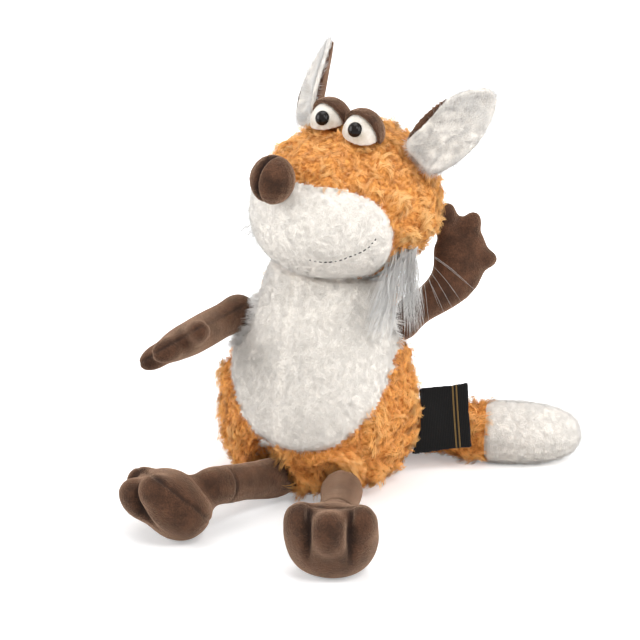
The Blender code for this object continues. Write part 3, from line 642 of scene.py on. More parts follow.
def plush_depth(orange_node, white_node, belly_seam, fuller):
    orange, white = cad_tree(orange_node), cad_tree(white_node)

    def depth(point, normal):
        past = white.find_nearest(point)[3] - orange.find_nearest(point)[3]
        share = ease(past, -3 * MM, 4 * MM)
        amount = WHITE_DEPTH + (ORANGE_DEPTH - WHITE_DEPTH) * share + SEAM_DEPTH * bell(past, SEAM_WIDTH)
        amount -= share * CURL_RELIEF * curls(point) + fuller
        if belly_seam and share < 0.5:
            amount += BELLY_SEAM_DEPTH * belly_line(point)
        return amount

    return depth


cloths = {}
for body, parts, stuffing, fuller in (
    ("trunk", ("back_skin", "belly_panel"), ("trunk_filling", "pellet_bag"), 0.0),
    ("head", ("crown_skin", "muzzle_skin"), ("head_filling",), 0.0),
    ("tail", ("tail_root_skin", "tail_tip_skin"), ("tail_filling",), 1.3 * MM),
):
    form = sewn_form(body + "_form", (*parts, *stuffing), orange_backing, body)
    press(form, plush_depth(*parts, belly_seam=body == "trunk", fuller=fuller))
    names = [part.rsplit("_", 1)[0] + "_plush" for part in parts]
    orange, white = split_by_node(form, names, parts)
    white.data.materials[0] = white_backing
    hand_over(orange, body, "orange_plush", parts[0], fill=0.9)
    hand_over(white, body, "white_plush", parts[1], fill=0.9)
    cloths[body] = (orange.data, white.data)
    print(body, "plush faces:", len(orange.data.polygons), len(white.data.polygons))

# %% [markdown]
# ## Stuffing
# Fibre fills the skins and a bag of pellets weights the seat.  None of it shows, but a cut through
# the toy would, so each filling is a soft form a little smaller than the space inside its skin.

# %% Stuffing and pellets
STUFFING_ROOM = 2.2 * MM
for name, node, body, finish, colour, fill in (
    ("trunk_fibre", "trunk_filling", "trunk", fibre, "stuffing", 0.9),
    ("seat_pellets", "pellet_bag", "trunk", pellets, "pellets", 0.7),
    ("head_fibre", "head_filling", "head", fibre, "stuffing", 0.9),
    ("tail_fibre", "tail_filling", "tail", fibre, "stuffing", 0.9),
):
    inner = press(sewn_form(name, (node,), finish, "stuffing"), lambda point, normal: STUFFING_ROOM)
    hand_over(inner, body, colour, node, fill=fill)
print("stuffed:", "trunk, head and tail")

# %% [markdown]
# ## Locks of pile
# Plush pile is fibre that clumps into locks.  A lock here is a handful of tapered strands that
# start close together and lean the same way, and a few different locks are enough, because each
# copy is turned and sized at random.  The strands of the orange plush curl over sideways and meet
# at their tips.  Those of the white plush are plain spikes that lie nearly flat.

# %% Shapes of locks


def strand_line(steps, lean, arc, root):
    """Points of a strand of unit length: it leans over as it rises and swings sideways by arc."""
    points, place = [root], root
    for step in range(steps):
        share = (step + 0.5) / steps
        tilt = math.radians(lean[0] + (lean[1] - lean[0]) * share)
        swing = math.radians(arc * (share - 0.35))
        way = Vector((math.sin(tilt) * math.cos(swing), math.sin(tilt) * math.sin(swing), math.cos(tilt)))
        place = place + way / steps
        points.append(place)
    return points


def join_rings(bm, rings):
    """Side faces between one ring of points and the next."""
    for lower, upper in zip(rings, rings[1:]):
        for corner in range(len(lower)):
            after = (corner + 1) % len(lower)
            bm.faces.new((lower[corner], lower[after], upper[after], upper[corner]))


def add_strand(bm, points, half_width, tip_layer):
    """A three-sided tapered strand with a closed root and a pointed tip."""
    steps = len(points) - 1
    rings = []
    for step, point in enumerate(points[:-1]):
        share = step / steps
        reach = half_width * (1 - 0.5 * share)
        way = (points[step + 1] - point).normalized()
        across = way.cross(Vector((0.31, 0.17, 0.93))).normalized()
        lift = across.cross(way)
        ring = []
        for corner in range(3):
            turn = 2 * math.pi * corner / 3
            vert = bm.verts.new(point + across * math.cos(turn) * reach + lift * math.sin(turn) * reach * 0.7)
            vert[tip_layer] = share
            ring.append(vert)
        rings.append(ring)
    end = bm.verts.new(points[-1])
    end[tip_layer] = 1.0
    join_rings(bm, rings)
    for corner in range(3):
        bm.faces.new((rings[-1][corner], rings[-1][(corner + 1) % 3], end))
    bm.faces.new(reversed(rings[0]))


def lock_collection(name, recipes, strands, steps, half_width, root_spread, tip_spread):
    """Lock shapes to copy from: each recipe is (lean at the root, lean at the tip, arc)."""
    collection = bpy.data.collections.new(name)
    for number, (lean_from, lean_to, arc) in enumerate(recipes):
        bm = bmesh.new()
        tip_layer = bm.verts.layers.float.new("tip")
        for strand in range(strands):
            turn, reach = 2.4 * strand + number, math.sqrt((strand + 0.5) / strands)
            root = Vector((math.cos(turn) * reach, math.sin(turn) * reach, 0)) * root_spread
            lean = (lean_from + 16 * math.cos(turn) * reach, lean_to + 14 * math.sin(2 * turn))
            points = strand_line(steps, lean, arc + 12 * math.sin(turn), root)
            gather = 1 - tip_spread / root_spread
            points = [point - root * gather * share / steps for share, point in enumerate(points)]
            add_strand(bm, points, half_width, tip_layer)
        bmesh.ops.recalc_face_normals(bm, faces=bm.faces)
        mesh = mesh_from(bm, f"{name}_{number}")
        mesh.shade_smooth()
        collection.objects.link(bpy.data.objects.new(f"{name}_{number}", mesh))
    return collection


CURLY = ((38, 96, 60), (44, 104, -70), (50, 92, 95), (36, 88, -40), (48, 110, 30), (42, 100, -105))
UPRIGHT = ((8, 42, 30), (14, 50, -40), (20, 58, 60), (10, 36, -20))
SHORT = ((50, 66, 0), (60, 76, 0), (72, 84, 0), (40, 56, 0))
curly_locks = lock_collection(
    "curly_locks", CURLY, strands=5, steps=3, half_width=0.0260, root_spread=0.24, tip_spread=0.05
)
short_locks = lock_collection(
    "short_locks", SHORT, strands=6, steps=1, half_width=0.0225, root_spread=0.5, tip_spread=0.45
)
upright_locks = lock_collection(
    "upright_locks", UPRIGHT, strands=5, steps=3, half_width=0.020, root_spread=0.22, tip_spread=0.05
)
print("lock shapes:", len(CURLY) + len(UPRIGHT) + len(SHORT))

# %% [markdown]
# ## Growing the pile with Geometry Nodes
# Pile is thousands of copies of a lock on a surface, which is what Geometry Nodes do well.  The
# tree scatters points, stands a lock on each one, turns it so that it leans along the comb of the
# cloth, and sizes it.  The comb and the amount of pile are stored on the cloth beforehand, so the
# same tree serves the back, the belly, the face, the ears and the tail.

# %% Helpers for trees


def new_tree(name, sockets, result):
    """A tree with named inputs, and one output for the geometry that it makes."""
    tree = bpy.data.node_groups.new(name, "GeometryNodeTree")
    for socket, kind in sockets.items():
        tree.interface.new_socket(socket, in_out="INPUT", socket_type="NodeSocket" + kind)
    tree.interface.new_socket(result, in_out="OUTPUT", socket_type="NodeSocketGeometry")
    return tree, add_node(tree, "NodeGroupInput").outputs


def end_tree(tree, geometry, finish, result):
    real = add_node(tree, "GeometryNodeRealizeInstances", {"Geometry": geometry})
    finished = add_node(tree, "GeometryNodeSetMaterial", {"Geometry": output(real), "Material": finish})
    add_node(tree, "NodeGroupOutput", {result: output(finished)})
    return tree


def chance(tree, seed, low, high):
    """A random number or vector between low and high."""
    kind = "FLOAT_VECTOR" if isinstance(high, tuple) else "FLOAT"
    facts = {"Min": low, "Max": high, "Seed": seed}
    return output(add_node(tree, "FunctionNodeRandomValue", facts, data_type=kind))


def turn_more(tree, rotation, angles, amount):
    """Turn a rotation further about its own axes by amount times some angles."""
    scaled = add_node(tree, "ShaderNodeVectorMath", {"Vector": angles, "Scale": amount}, operation="SCALE")
    by = add_node(tree, "FunctionNodeEulerToRotation", {"Euler": output(scaled)})
    both = {"Rotation": rotation, "Rotate By": output(by)}
    return output(add_node(tree, "FunctionNodeRotateRotation", both, rotation_space="LOCAL"))


def stored(tree, name, kind):
    node = add_node(tree, "GeometryNodeInputNamedAttribute", {"Name": name}, data_type=kind)
    return output(node, "Attribute")


def store(tree, geometry, name, value, kind):
    """Keep a value on each instance."""
    facts = {"Geometry": geometry, "Name": name, "Value": value}
    return output(
        add_node(tree, "GeometryNodeStoreNamedAttribute", facts, data_type=kind, domain="INSTANCE")
    )


def run_tree(name, data, tree, given):
    """Run a tree on some data, and make a plain mesh piece of what comes out."""
    carrier = in_scene(name + "_carrier", data)
    step = carrier.modifiers.new("tree", "NODES")
    step.node_group = tree
    for item in tree.interface.items_tree:
        if item.item_type == "SOCKET" and item.name in given:
            step[item.identifier] = given[item.name]
    mesh = evaluated_mesh(carrier)
    bpy.data.objects.remove(carrier, do_unlink=True)
    return in_scene(name, mesh)


# %% The pile tree
BARE_BELOW = 0.05
MOST_TOUSLED = (0.3, 0.3, 1.0)


def build_pile_tree():
    sockets = {
        "Cloth": "Geometry",
        "Locks": "Collection",
        "Density": "Float",
        "Length": "Float",
        "Unevenness": "Float",
        "Tousle": "Float",
        "Seed": "Int",
        "Finish": "Material",
    }
    tree, given = new_tree("grow_pile", sockets, "Pile")
    amount = stored(tree, "pile", "FLOAT")
    grows = work_out(tree, "GREATER_THAN", amount, BARE_BELOW)
    density = work_out(tree, "MULTIPLY", grows, given["Density"])
    spots = {"Mesh": given["Cloth"], "Density": density, "Seed": given["Seed"]}
    scatter = add_node(tree, "GeometryNodeDistributePointsOnFaces", spots)
    normal = scatter.outputs["Normal"]
    upright = add_node(tree, "FunctionNodeAlignRotationToVector", {"Vector": normal}, axis="Z")
    comb = {"Rotation": output(upright), "Vector": stored(tree, "comb", "FLOAT_VECTOR")}
    combed = add_node(tree, "FunctionNodeAlignRotationToVector", comb, axis="X", pivot_axis="Z")
    lowest = tuple(-part for part in MOST_TOUSLED)
    swing = chance(tree, given["Seed"], lowest, MOST_TOUSLED)
    turned = turn_more(tree, output(combed), swing, given["Tousle"])
    shortest = work_out(tree, "SUBTRACT", 1.0, given["Unevenness"])
    uneven = chance(tree, given["Seed"], shortest, 1.0)
    size = work_out(tree, "MULTIPLY", work_out(tree, "MULTIPLY", uneven, amount), given["Length"])
    pick = {"Collection": given["Locks"], "Separate Children": True, "Reset Children": True}
    facts = {
        "Points": scatter.outputs["Points"],
        "Instance": output(add_node(tree, "GeometryNodeCollectionInfo", pick)),
        "Pick Instance": True,
        "Rotation": turned,
        "Scale": size,
    }
    stand = output(add_node(tree, "GeometryNodeInstanceOnPoints", facts))
    shaded = store(tree, stand, "shade", chance(tree, given["Seed"], 0.0, 1.0), "FLOAT")
    outward = store(tree, shaded, "outward", normal, "FLOAT_VECTOR")
    return end_tree(tree, outward, given["Finish"], "Pile")


pile_tree = build_pile_tree()
print("pile tree:", len(pile_tree.nodes), "nodes")

# %% Combing the cloth
# Matted pile swirls: it flows round its heaps, which is what turning the slope of the curls by a
# quarter gives.  Near a neighbour the pile is short, and under it there is none.
SLOPE_STEP = 0.8 * MM
SOFT_LIGHT = 0.65
BARE_WITHIN = 0.6 * MM
SHORT_WITHIN = 3.0 * MM
AXES = (Vector((1, 0, 0)), Vector((0, 1, 0)), Vector((0, 0, 1)))


def swirl_of(point, normal):
    level = curls(point)
    slope = Vector([curls(point + axis * SLOPE_STEP) - level for axis in AXES])
    return normal.cross(slope).normalized()


def comb_cloth(mesh, way, swirl, keep_off=(), heaped=1.0, trim=None):
    """Store on the cloth where its pile leans, how much grows and its heap shade, painted light on heaps and
    dark in creases.
    """
    combs, amounts, heap_shades = [], [], []
    for vert in mesh.vertices:
        point, normal = vert.co, vert.normal
        lean = way(point).normalized() * (1 - swirl) + swirl_of(point, normal) * swirl
        lean -= normal * lean.dot(normal)
        level = curls(point) * heaped
        amount = (1.0 + 0.22 * level) * (trim(point) if trim else 1.0)
        for tree in keep_off:
            reach = tree.find_nearest(point, SHORT_WITHIN)[3]
            if reach is not None:
                amount *= 0.0 if reach < BARE_WITHIN else 0.35 + 0.65 * reach / SHORT_WITHIN
        combs.extend(lean.normalized())
        amounts.append(amount)
        # Heap shade: painted light on top of a heap, painted shade in the creases between heaps.
        heap_shades.append(0.5 + 0.42 * level)
    keep_values(mesh, "comb", combs, "FLOAT_VECTOR")
    keep_values(mesh, "pile", amounts)
    keep_values(mesh, "heap_shade", heap_shades)


def soften_light(mesh, share):
    """Turn the pile's normals towards the cloth's, as soft fibre scatters light over its neighbours."""
    outward = np.empty(len(mesh.vertices) * 3)
    own = np.empty(len(mesh.vertices) * 3)
    mesh.attributes["outward"].data.foreach_get("vector", outward)
    mesh.vertices.foreach_get("normal", own)
    mixed = (outward * share + own * (1 - share)).reshape(-1, 3)
    mixed /= np.maximum(np.linalg.norm(mixed, axis=1, keepdims=True), 1e-6)
    mesh.attributes.remove(mesh.attributes["outward"])
    mesh.normals_split_custom_set_from_vertices(mixed.tolist())


def grow_pile(name, cloth, locks, finish, body, density, length, seed, unevenness=0.4, tousle=0.4):
    """Pile over a cloth, as one piece.  density is locks to the square centimetre, length in mm."""
    given = {
        "Locks": locks,
        "Density": density * 10000.0,
        "Length": length * MM,
        "Unevenness": unevenness,
        "Tousle": tousle,
        "Seed": seed,
        "Finish": finish,
    }
    made = run_tree(name, cloth, pile_tree, given)
    made.data.shade_smooth()
    soften_light(made.data, SOFT_LIGHT)
    hand_over(made, body, "orange_plush" if "orange" in finish.name else "white_plush")
    print(name, sum(len(face.vertices) - 2 for face in made.data.polygons), "triangles")


SIDES = ("left", "right")
head_tree = cad_tree("crown_skin", "muzzle_skin")
trunk_tree = cad_tree("back_skin", "belly_panel")
limb_tree = cad_tree(*[f"{side}_{limb}_skin" for side in SIDES for limb in ("arm", "leg")])
tail_tree = cad_tree("tail_root_skin")
label_tree = cad_tree("side_label")
face_parts = [f"{side}_{part}" for side in SIDES for part in ("eyeball", "eyelid", "ear_back")]
face_tree = cad_tree("nose", *face_parts)

# %% Pile on the trunk
# Four layers on the back, each a little shorter and wilder than the one before, make one deep pile.
SEAT_BARE = 3.5 * MM
THROAT_HEIGHT = 124 * MM
DOWN = Vector((0, 0, -1))
BACK_LAYERS = ((7.5, 0.15), (7.0, 0.25), (6.5, 0.35), (6.0, 0.7))
back_cloth, belly_cloth = cloths["trunk"]


def off_seat_and_throat(point):
    """No orange pile where the trunk rests, nor under the chin, where the white of the belly ends."""
    throat = ease(point.z, THROAT_HEIGHT, THROAT_HEIGHT + 6 * MM) * ease(-point.y, -6 * MM, 4 * MM)
    return ease(point.z, SEAT_BARE * 0.6, SEAT_BARE * 2) * (1 - throat)


def off_belly_line(point):
    return 1 - 0.55 * belly_line(point)


near_trunk = (head_tree, limb_tree, tail_tree, label_tree)
comb_cloth(back_cloth, lambda point: DOWN, 0.72, near_trunk, trim=off_seat_and_throat)
comb_cloth(belly_cloth, lambda point: DOWN, 0.12, near_trunk, heaped=0.15, trim=off_belly_line)
for number, (length, tousle) in enumerate(BACK_LAYERS):
    name = f"back_pile_{number}"
    grow_pile(
        name, back_cloth, curly_locks, shade_reddened_orange_pile, "trunk", 4.0, length, seed=3 + number, tousle=tousle
    )
grow_pile(
    "belly_pile", belly_cloth, short_locks, white_pile, "trunk", 56, 3.6, seed=11, unevenness=0.5, tousle=1.4
)

# %% Pile on the head
HEAD_CENTRE = Vector((20, -4, 176.5)) * MM
HEAD_TURN = Matrix.Rotation(math.radians(-34), 4, "Z")
HEAD_TILT = Matrix.Rotation(math.radians(8), 4, "Y")
HEAD_FRAME = Matrix.Translation(HEAD_CENTRE) @ HEAD_TURN @ HEAD_TILT
NOSE_IN_HEAD = Vector((-1.2, -63, 18.5)) * MM
NOSE_CENTRE = HEAD_FRAME @ NOSE_IN_HEAD
CROWN_LAYERS = ((7.0, 0.15), (6.0, 0.4))
crown_cloth, muzzle_cloth = cloths["head"]
near_head = (trunk_tree, face_tree)
comb_cloth(crown_cloth, lambda point: point - NOSE_CENTRE, 0.70, near_head)
comb_cloth(muzzle_cloth, lambda point: point - NOSE_CENTRE, 0.10, near_head, heaped=0.12)
for number, (length, tousle) in enumerate(CROWN_LAYERS):
    name = f"crown_pile_{number}"
    grow_pile(name, crown_cloth, curly_locks, orange_pile, "head", 7.6, length, seed=20 + number, tousle=tousle)
grow_pile(
    "muzzle_pile", muzzle_cloth, short_locks, white_pile, "head", 60, 3.0, seed=24, unevenness=0.5, tousle=1.4
)

# %% Pile on the tail
TAIL_WAY = Vector((1, 0.02, 0))
root_cloth, tip_cloth = cloths["tail"]
comb_cloth(root_cloth, lambda point: TAIL_WAY, 0.65, (trunk_tree, label_tree))
comb_cloth(tip_cloth, lambda point: TAIL_WAY, 0.12, heaped=0.15)
grow_pile("tail_root_pile", root_cloth, curly_locks, shade_reddened_orange_pile, "tail", 16, 8.5, seed=30)
grow_pile(
    "tail_tip_pile", tip_cloth, short_locks, white_pile, "tail", 56, 3.8, seed=31, unevenness=0.5, tousle=1.2
)

# %% [markdown]
# ## Velboa limbs
# Arms, legs and feet are sewn from short brown velboa, so their form shows everything: the seam
# round each limb, the stitched clefts between the toes and the slight lumps of the stuffing.  Each
# is remeshed from its skin and stuffing, softened, and pressed in along those lines.

# %% Where limbs point
FOOT_WAYS = {"left": (0.05, -0.46, 0.88), "right": (-0.72, -0.20, 0.66)}
SOLE_WAYS = {"left": (0.09, -0.99, 0.03), "right": (-0.62, -0.52, -0.60)}
ARM_WAYS = {"left": (0.436, 0.39, 0.787), "right": (-0.402, -0.912, -0.082)}
ARM_FACES = {"left": (0.24, -0.96, 0.10), "right": (0.54, -0.16, -0.83)}
ARM_SEAM_SHIFT = {"left": 0.0, "right": 1.5 * MM}
ARM_FULLER = {"left": 0.0, "right": 0.4 * MM}
JOINT_PLACES = {joint["child"]: Vector(joint["pos_m"]) for joint in frame["record"]["behaviour"]["joints"]}
FOOT_START = Vector((0, 20.5, -12.0)) * MM
FOOT_FULLER = 1.0 * MM
CLEFT_PLACE = 10.8 * MM
CLEFT_WIDTH = 2.1 * MM
CLEFT_DEPTH = 3.2 * MM
LIMB_SEAM_DEPTH = 0.6 * MM
SEAM_SHADE = 0.6
LUMP_SIZE = 14 * MM
LUMP_HEIGHT = 0.45 * MM


def lumps(point):
    return LUMP_HEIGHT * noise.noise(point / LUMP_SIZE)


def foot_depth(side):
    """Clefts between the toes, and the seam between sole and upper."""
    place = facing(JOINT_PLACES[side + "_foot"], FOOT_WAYS[side], SOLE_WAYS[side])
    back = (place @ Matrix.Translation(FOOT_START)).inverted()

    def depth(point, normal):
        x, y, z = back @ point
        toes = ease(z, 20 * MM, 40 * MM) * ease(y, -8 * MM, 4 * MM)
        cleft = bell(abs(x) - CLEFT_PLACE, CLEFT_WIDTH) * toes
        seam = bell(y + 4.0 * MM, 0.9 * MM) * (1 - cleft)
        amount = CLEFT_DEPTH * cleft + LIMB_SEAM_DEPTH * seam - FOOT_FULLER - lumps(point)
        # The crease paints shade into the toe clefts and, less, the seam.
        return amount, max(cleft, SEAM_SHADE * seam)

    return depth


def arm_depth(side):
    """The seam that runs round the flat of the arm and hand."""
    back = facing(JOINT_PLACES[side + "_arm"], ARM_WAYS[side], ARM_FACES[side]).inverted()

    def depth(point, normal):
        seam = bell((back @ point).y + ARM_SEAM_SHIFT[side], 0.8 * MM)
        return LIMB_SEAM_DEPTH * seam - ARM_FULLER[side] - lumps(point), SEAM_SHADE * seam

    return depth


def leg_way(side):
    return (JOINT_PLACES[side + "_foot"] - JOINT_PLACES[side + "_leg"]).normalized()


def leg_depth(side):
    """The seam that closes the end of the leg."""
    foot, way = JOINT_PLACES[side + "_foot"], leg_way(side)

    def depth(point, normal):
        seam = bell((point - foot).dot(way) + 9 * MM, 0.9 * MM)
        return LIMB_SEAM_DEPTH * seam - lumps(point), SEAM_SHADE * seam

    return depth


# %% [markdown]
# A foot is sewn to its leg, so the velboa runs over the ankle without a gap.  A closing fills it:
# the joined leg and foot are swelled and shrunk again by the same amount, which rounds every
# hollow between them.  The part near the ankle becomes its own piece.
# A smaller closing on the hands joins the fingers at their roots.  The right hand is seen from
# its flat side, where it is a smooth mitten, so it gets more smoothing.

# %% Ankles
ANKLE_CLOSING = 5.0 * MM
ANKLE_FULLER = 0.25 * MM
ANKLE_REACH = 19 * MM
ANKLE_BEND = 7 * MM
HAND_CLOSING = 2.6 * MM
HAND_ROUNDS = {"left": 3, "right": 24}


def closing(form, kind, amount, rounds):
    """Swell a form and shrink it again, so that its hollows are filled."""
    for step in (amount, -amount):
        swell = form.modifiers.new("swell", "DISPLACE")
        swell.strength = step
        swell.mid_level = 0.0
        add_remesh(form, VOXELS_AND_ROUNDS[kind][0])
    return smoothed(form, velboa, rounds)


def cover_ankle(side):
    foot, bend = JOINT_PLACES[side + "_foot"], leg_way(side) * ANKLE_BEND
    nodes = [f"{side}_{limb}_{part}" for limb in ("leg", "foot") for part in ("skin", "filling")]
    form = closing(sewn_form(side + "_ankle_velboa", nodes, velboa, "ankle"), "ankle", ANKLE_CLOSING, 3)
    seam = leg_depth(side)
    press(form, lambda point, normal: (seam(point, normal)[0] - ANKLE_FULLER, seam(point, normal)[1]))
    keep_faces(form.data, lambda face: (face.calc_center_median() - foot).length <= ANKLE_REACH)
    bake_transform(form)
    print(form.name, len(form.data.polygons), "faces")


for side in SIDES:
    cover_ankle(side)

# %% Arms, legs and feet
for side in SIDES:
    for limb, depth in (("arm", arm_depth(side)), ("leg", leg_depth(side)), ("foot", foot_depth(side))):
        body = f"{side}_{limb}"
        nodes = (body + "_skin", body + "_filling")
        form = sewn_form(body + "_velboa", nodes, velboa, limb)
        if limb == "arm":
            form = closing(form, limb, HAND_CLOSING, HAND_ROUNDS[side])
        press(form, depth)
        hand_over(form, body, "brown_velboa", *nodes, fill=0.8)
        print(form.name, len(form.data.polygons), "faces")

# %% [markdown]
# The body's pile bulges round the roots of the arms and legs and hides where they are sewn on.
# Upright pile on the cloth close round each limb does that.

# %% Pile round the limbs
FRINGE_FROM = 0.4 * MM
FRINGE_REACH = 8 * MM


def fringe(name, cloth, limb, *pile, **amounts):
    """Upright pile on the faces of a trunk cloth that lie near a limb's skin."""
    skin = cad_tree(limb + "_skin")

    def near(face):
        reach = skin.find_nearest(face.calc_center_median(), FRINGE_REACH)[3]
        return FRINGE_FROM < (reach or 0) < FRINGE_REACH

    grow_pile(name, keep_faces(cloth.copy(), near), upright_locks, *pile, "trunk", **amounts)


for number, side in enumerate(SIDES):
    name = side + "_hip_fringe"
    fringe(name, back_cloth, side + "_leg", shade_reddened_orange_pile, density=19, length=9.5, seed=50 + number)
    name = side + "_shoulder_fringe"
    fringe(name, belly_cloth, side + "_arm", white_pile, density=30, length=7.5, seed=60 + number)

# %% [markdown]
# ## Ears
# An ear is two layers sewn edge to edge, brown velboa behind and white plush in front.  The white
# front stands a little over the rim and is brushed outwards from the middle.  Along one edge the
# brown layer is rolled over to the front, in a strip that is widest at the root.

# %% Ear layers and their pile
VIEW_RIGHT = Vector((0.985, 0.174, 0))
VIEW_UP = Vector((-0.051, 0.288, 0.956))
STRIP_FROM = 0.66
STRIP_TAPER = 0.42
STRIP_THICKNESS = 0.25 * MM
RIM_OVERHANG = 1.3 * MM
for side in SIDES:
    body = side + "_ear"
    root = JOINT_PLACES[body]
    back = sewn_form(body + "_velboa", (body + "_back",), velboa, "ear_back")
    front = sewn_form(body + "_plush", (body + "_inner",), white_backing, "ear_front")
    back_tree = cad_tree(body + "_back")
    rows = np.array([vert.co[:] for vert in front.data.vertices])
    middle = Vector(rows.mean(axis=0))
    ways = np.linalg.svd(rows - rows.mean(axis=0), full_matrices=False)[2]
    across, square = Vector(ways[1]), Vector(ways[2])
    press(front, lambda point, normal: -RIM_OVERHANG * (1 - abs(normal.dot(square))) ** 2)
    hand_over(back, body, "brown_velboa", body + "_back")
    hand_over(front, body, "white_plush", body + "_inner")
    across = across if across.dot(VIEW_UP - VIEW_RIGHT) > 0 else -across
    edge = max(across.dot(Vector(row) - middle) for row in rows)
    reach = max((Vector(row) - root).length for row in rows)

    def over_the_strip(point):
        """Above 0 along the edge that the brown layer is rolled over, which is widest at the root."""
        return across.dot(point - middle) / edge - STRIP_FROM - STRIP_TAPER * (point - root).length / reach

    def brushed_off(point):
        """No pile behind, nor on the brown strip."""
        behind = ease(back_tree.find_nearest(point)[3], 0.10 * MM, 0.45 * MM)
        return behind * (1 - ease(over_the_strip(point), -0.08, 0))

    def off_the_middle(point):
        return (point - middle) + (middle - root) * 0.35

    comb_cloth(front.data, off_the_middle, 0.15, heaped=0.4, trim=brushed_off)
    grow_pile(
        body + "_pile", front.data, short_locks, ear_pile, body, 50, 5.0, seed=40, unevenness=0.5, tousle=0.6
    )
    rolled = keep_faces(
        front.data.copy(), lambda face: over_the_strip(face.calc_center_median()) >= 0, STRIP_THICKNESS
    )
    hand_over(new_piece(body + "_strip", rolled, velboa), body, "brown_velboa")

# %% [markdown]
# ## Nose and eyes
# The nose is a velboa ball drawn in by one stitch line down its front.  Each eye is a fleece ball
# with a glossy bead, under a lid that is a strip of velboa.

# %% Nose
INTO_HEAD = HEAD_FRAME.inverted()
GROOVE_WIDTH = 1.4 * MM
GROOVE_DEPTH = 2.3 * MM


def nose_depth(point, normal):
    x, y, z = INTO_HEAD @ point - INTO_HEAD @ NOSE_CENTRE
    groove = bell(x, GROOVE_WIDTH) * ease(-y, -6 * MM, 2 * MM)
    # The groove's crease paints shade into it.
    return GROOVE_DEPTH * groove, groove


nose = press(sewn_form("nose_velboa", ("nose",), velboa, "nose"), nose_depth)
hand_over(nose, "head", "brown_velboa", "nose", fill=0.9)

# %% Eyes and lids
for side in SIDES:
    for part, finish, colour in (("eyeball", fleece, "eye_fleece"), ("eyelid", velboa, "brown_velboa")):
        node = f"{side}_{part}"
        hand_over(sewn_form(node + "_cloth", (node,), finish, "eye"), "head", colour, node, fill=0.9)
    node = side + "_pupil"
    hand_over(sewn_form(node + "_bead", (node,), bead, "bead"), "head", "black_bead", node)
print("eyes done")

# %% [markdown]
# ## Stitched mouth
# The smile is embroidered: short black stitches end to end, each a little out of line.  Stitches
# that follow a path are another task for Geometry Nodes.  The path is the middle line of the CAD
# thread, found by slicing it across.

# %% The mouth's path and one stitch
MOUTH_SLICES = 26
STITCH_SIDES = 6
STITCH_LENGTH = 1.9 * MM
STITCH_RADIUS = 0.32 * MM
STITCH_SPACING = 2.7 * MM
STITCH_RINGS = ((-0.5, 0.35), (-0.38, 0.95), (0.0, 1.1), (0.38, 0.95), (0.5, 0.35))


def middle_line(node, across, slices):
    """Centres of slices through a thread-like node, square to a direction."""
    points = cad_points(node)
    reach = points @ np.array(across)
    edges = np.linspace(reach.min(), reach.max(), slices + 1)
    line = []
    for low, high in zip(edges, edges[1:]):
        inside = points[(reach >= low - 0.1 * MM) & (reach <= high + 0.1 * MM)]
        if len(inside) > 5:
            line.append(Vector(inside.mean(axis=0)))
    return line


def one_stitch():
    """A closed six-sided stitch along local Z, tapered at both ends."""
    bm = bmesh.new()
    rings = []
    for height, reach in STITCH_RINGS:
        turns = [2 * math.pi * corner / STITCH_SIDES for corner in range(STITCH_SIDES)]
        out, up = STITCH_RADIUS * reach, height * STITCH_LENGTH
        rings.append([bm.verts.new((math.cos(turn) * out, math.sin(turn) * out, up)) for turn in turns])
    join_rings(bm, rings)
    bm.faces.new(reversed(rings[0]))
    bm.faces.new(rings[-1])
    mesh = mesh_from(bm, "mouth_stitch")
    mesh.shade_smooth()
    return bpy.data.objects.new("mouth_stitch", mesh)


left_of_head = HEAD_FRAME.to_3x3() @ Vector((1, 0, 0))
mouth_path = middle_line("mouth_stitching", left_of_head, MOUTH_SLICES)
print("mouth path:", len(mouth_path), "points")

# %% The stitch tree
SMALLEST_STITCH = (0.8, 0.8, 0.45)
LARGEST_STITCH = (1.1, 1.1, 1.15)


def build_stitch_tree():
    sockets = {
        "Path": "Geometry",
        "Stitch": "Object",
        "Spacing": "Float",
        "Wobble": "Float",
        "Seed": "Int",
        "Finish": "Material",
    }
    tree, given = new_tree("stitch_path", sockets, "Stitches")
    walk = {"Curve": given["Path"], "Length": given["Spacing"]}
    points = add_node(tree, "GeometryNodeCurveToPoints", walk, mode="LENGTH").outputs
    wobble = chance(tree, given["Seed"], (-1.0, -1.0, 0.0), (1.0, 1.0, 0.0))
    shape = add_node(tree, "GeometryNodeObjectInfo", {"Object": given["Stitch"]})
    facts = {
        "Points": points["Points"],
        "Instance": shape.outputs["Geometry"],
        "Rotation": turn_more(tree, points["Rotation"], wobble, given["Wobble"]),
        "Scale": chance(tree, given["Seed"], SMALLEST_STITCH, LARGEST_STITCH),
    }
    laid = add_node(tree, "GeometryNodeInstanceOnPoints", facts)
    return end_tree(tree, output(laid), given["Finish"], "Stitches")


def lay_stitches(name, path, given):
    curve = bpy.data.curves.new(name, "CURVE")
    curve.dimensions = "3D"
    spline = curve.splines.new("POLY")
    spline.points.add(len(path) - 1)
    for knot, place in zip(spline.points, path):
        knot.co = (*place, 1)
    return run_tree(name, curve, build_stitch_tree(), given)


given = {"Stitch": one_stitch(), "Spacing": STITCH_SPACING, "Wobble": 0.22, "Seed": 5, "Finish": mouth_thread}
mouth = lay_stitches("mouth_stitches", mouth_path, given)
hand_over(mouth, "head", "black_thread", "mouth_stitching")
print("stitch faces:", len(mouth.data.polygons))

# %% [markdown]
# ## Cheek tufts
# A tuft of much longer white pile hangs from each cheek seam.  Its hairs are few enough to lay one
# by one: most start along the seam and end within the tuft, fans of them spread to one side and
# down, and a few strays wander off.

# %% Long strands
rng = np.random.default_rng(8)
TUFT_GAP = 0.9 * MM
TUFT_SOFT_LIGHT = 0.9
TUFT_OUTWARD = {"left": (0.36, -0.80, 0.48), "right": (-0.36, -0.80, 0.48)}
HAIR_STEPS = 8
HAIR_DRIFT = 1.6


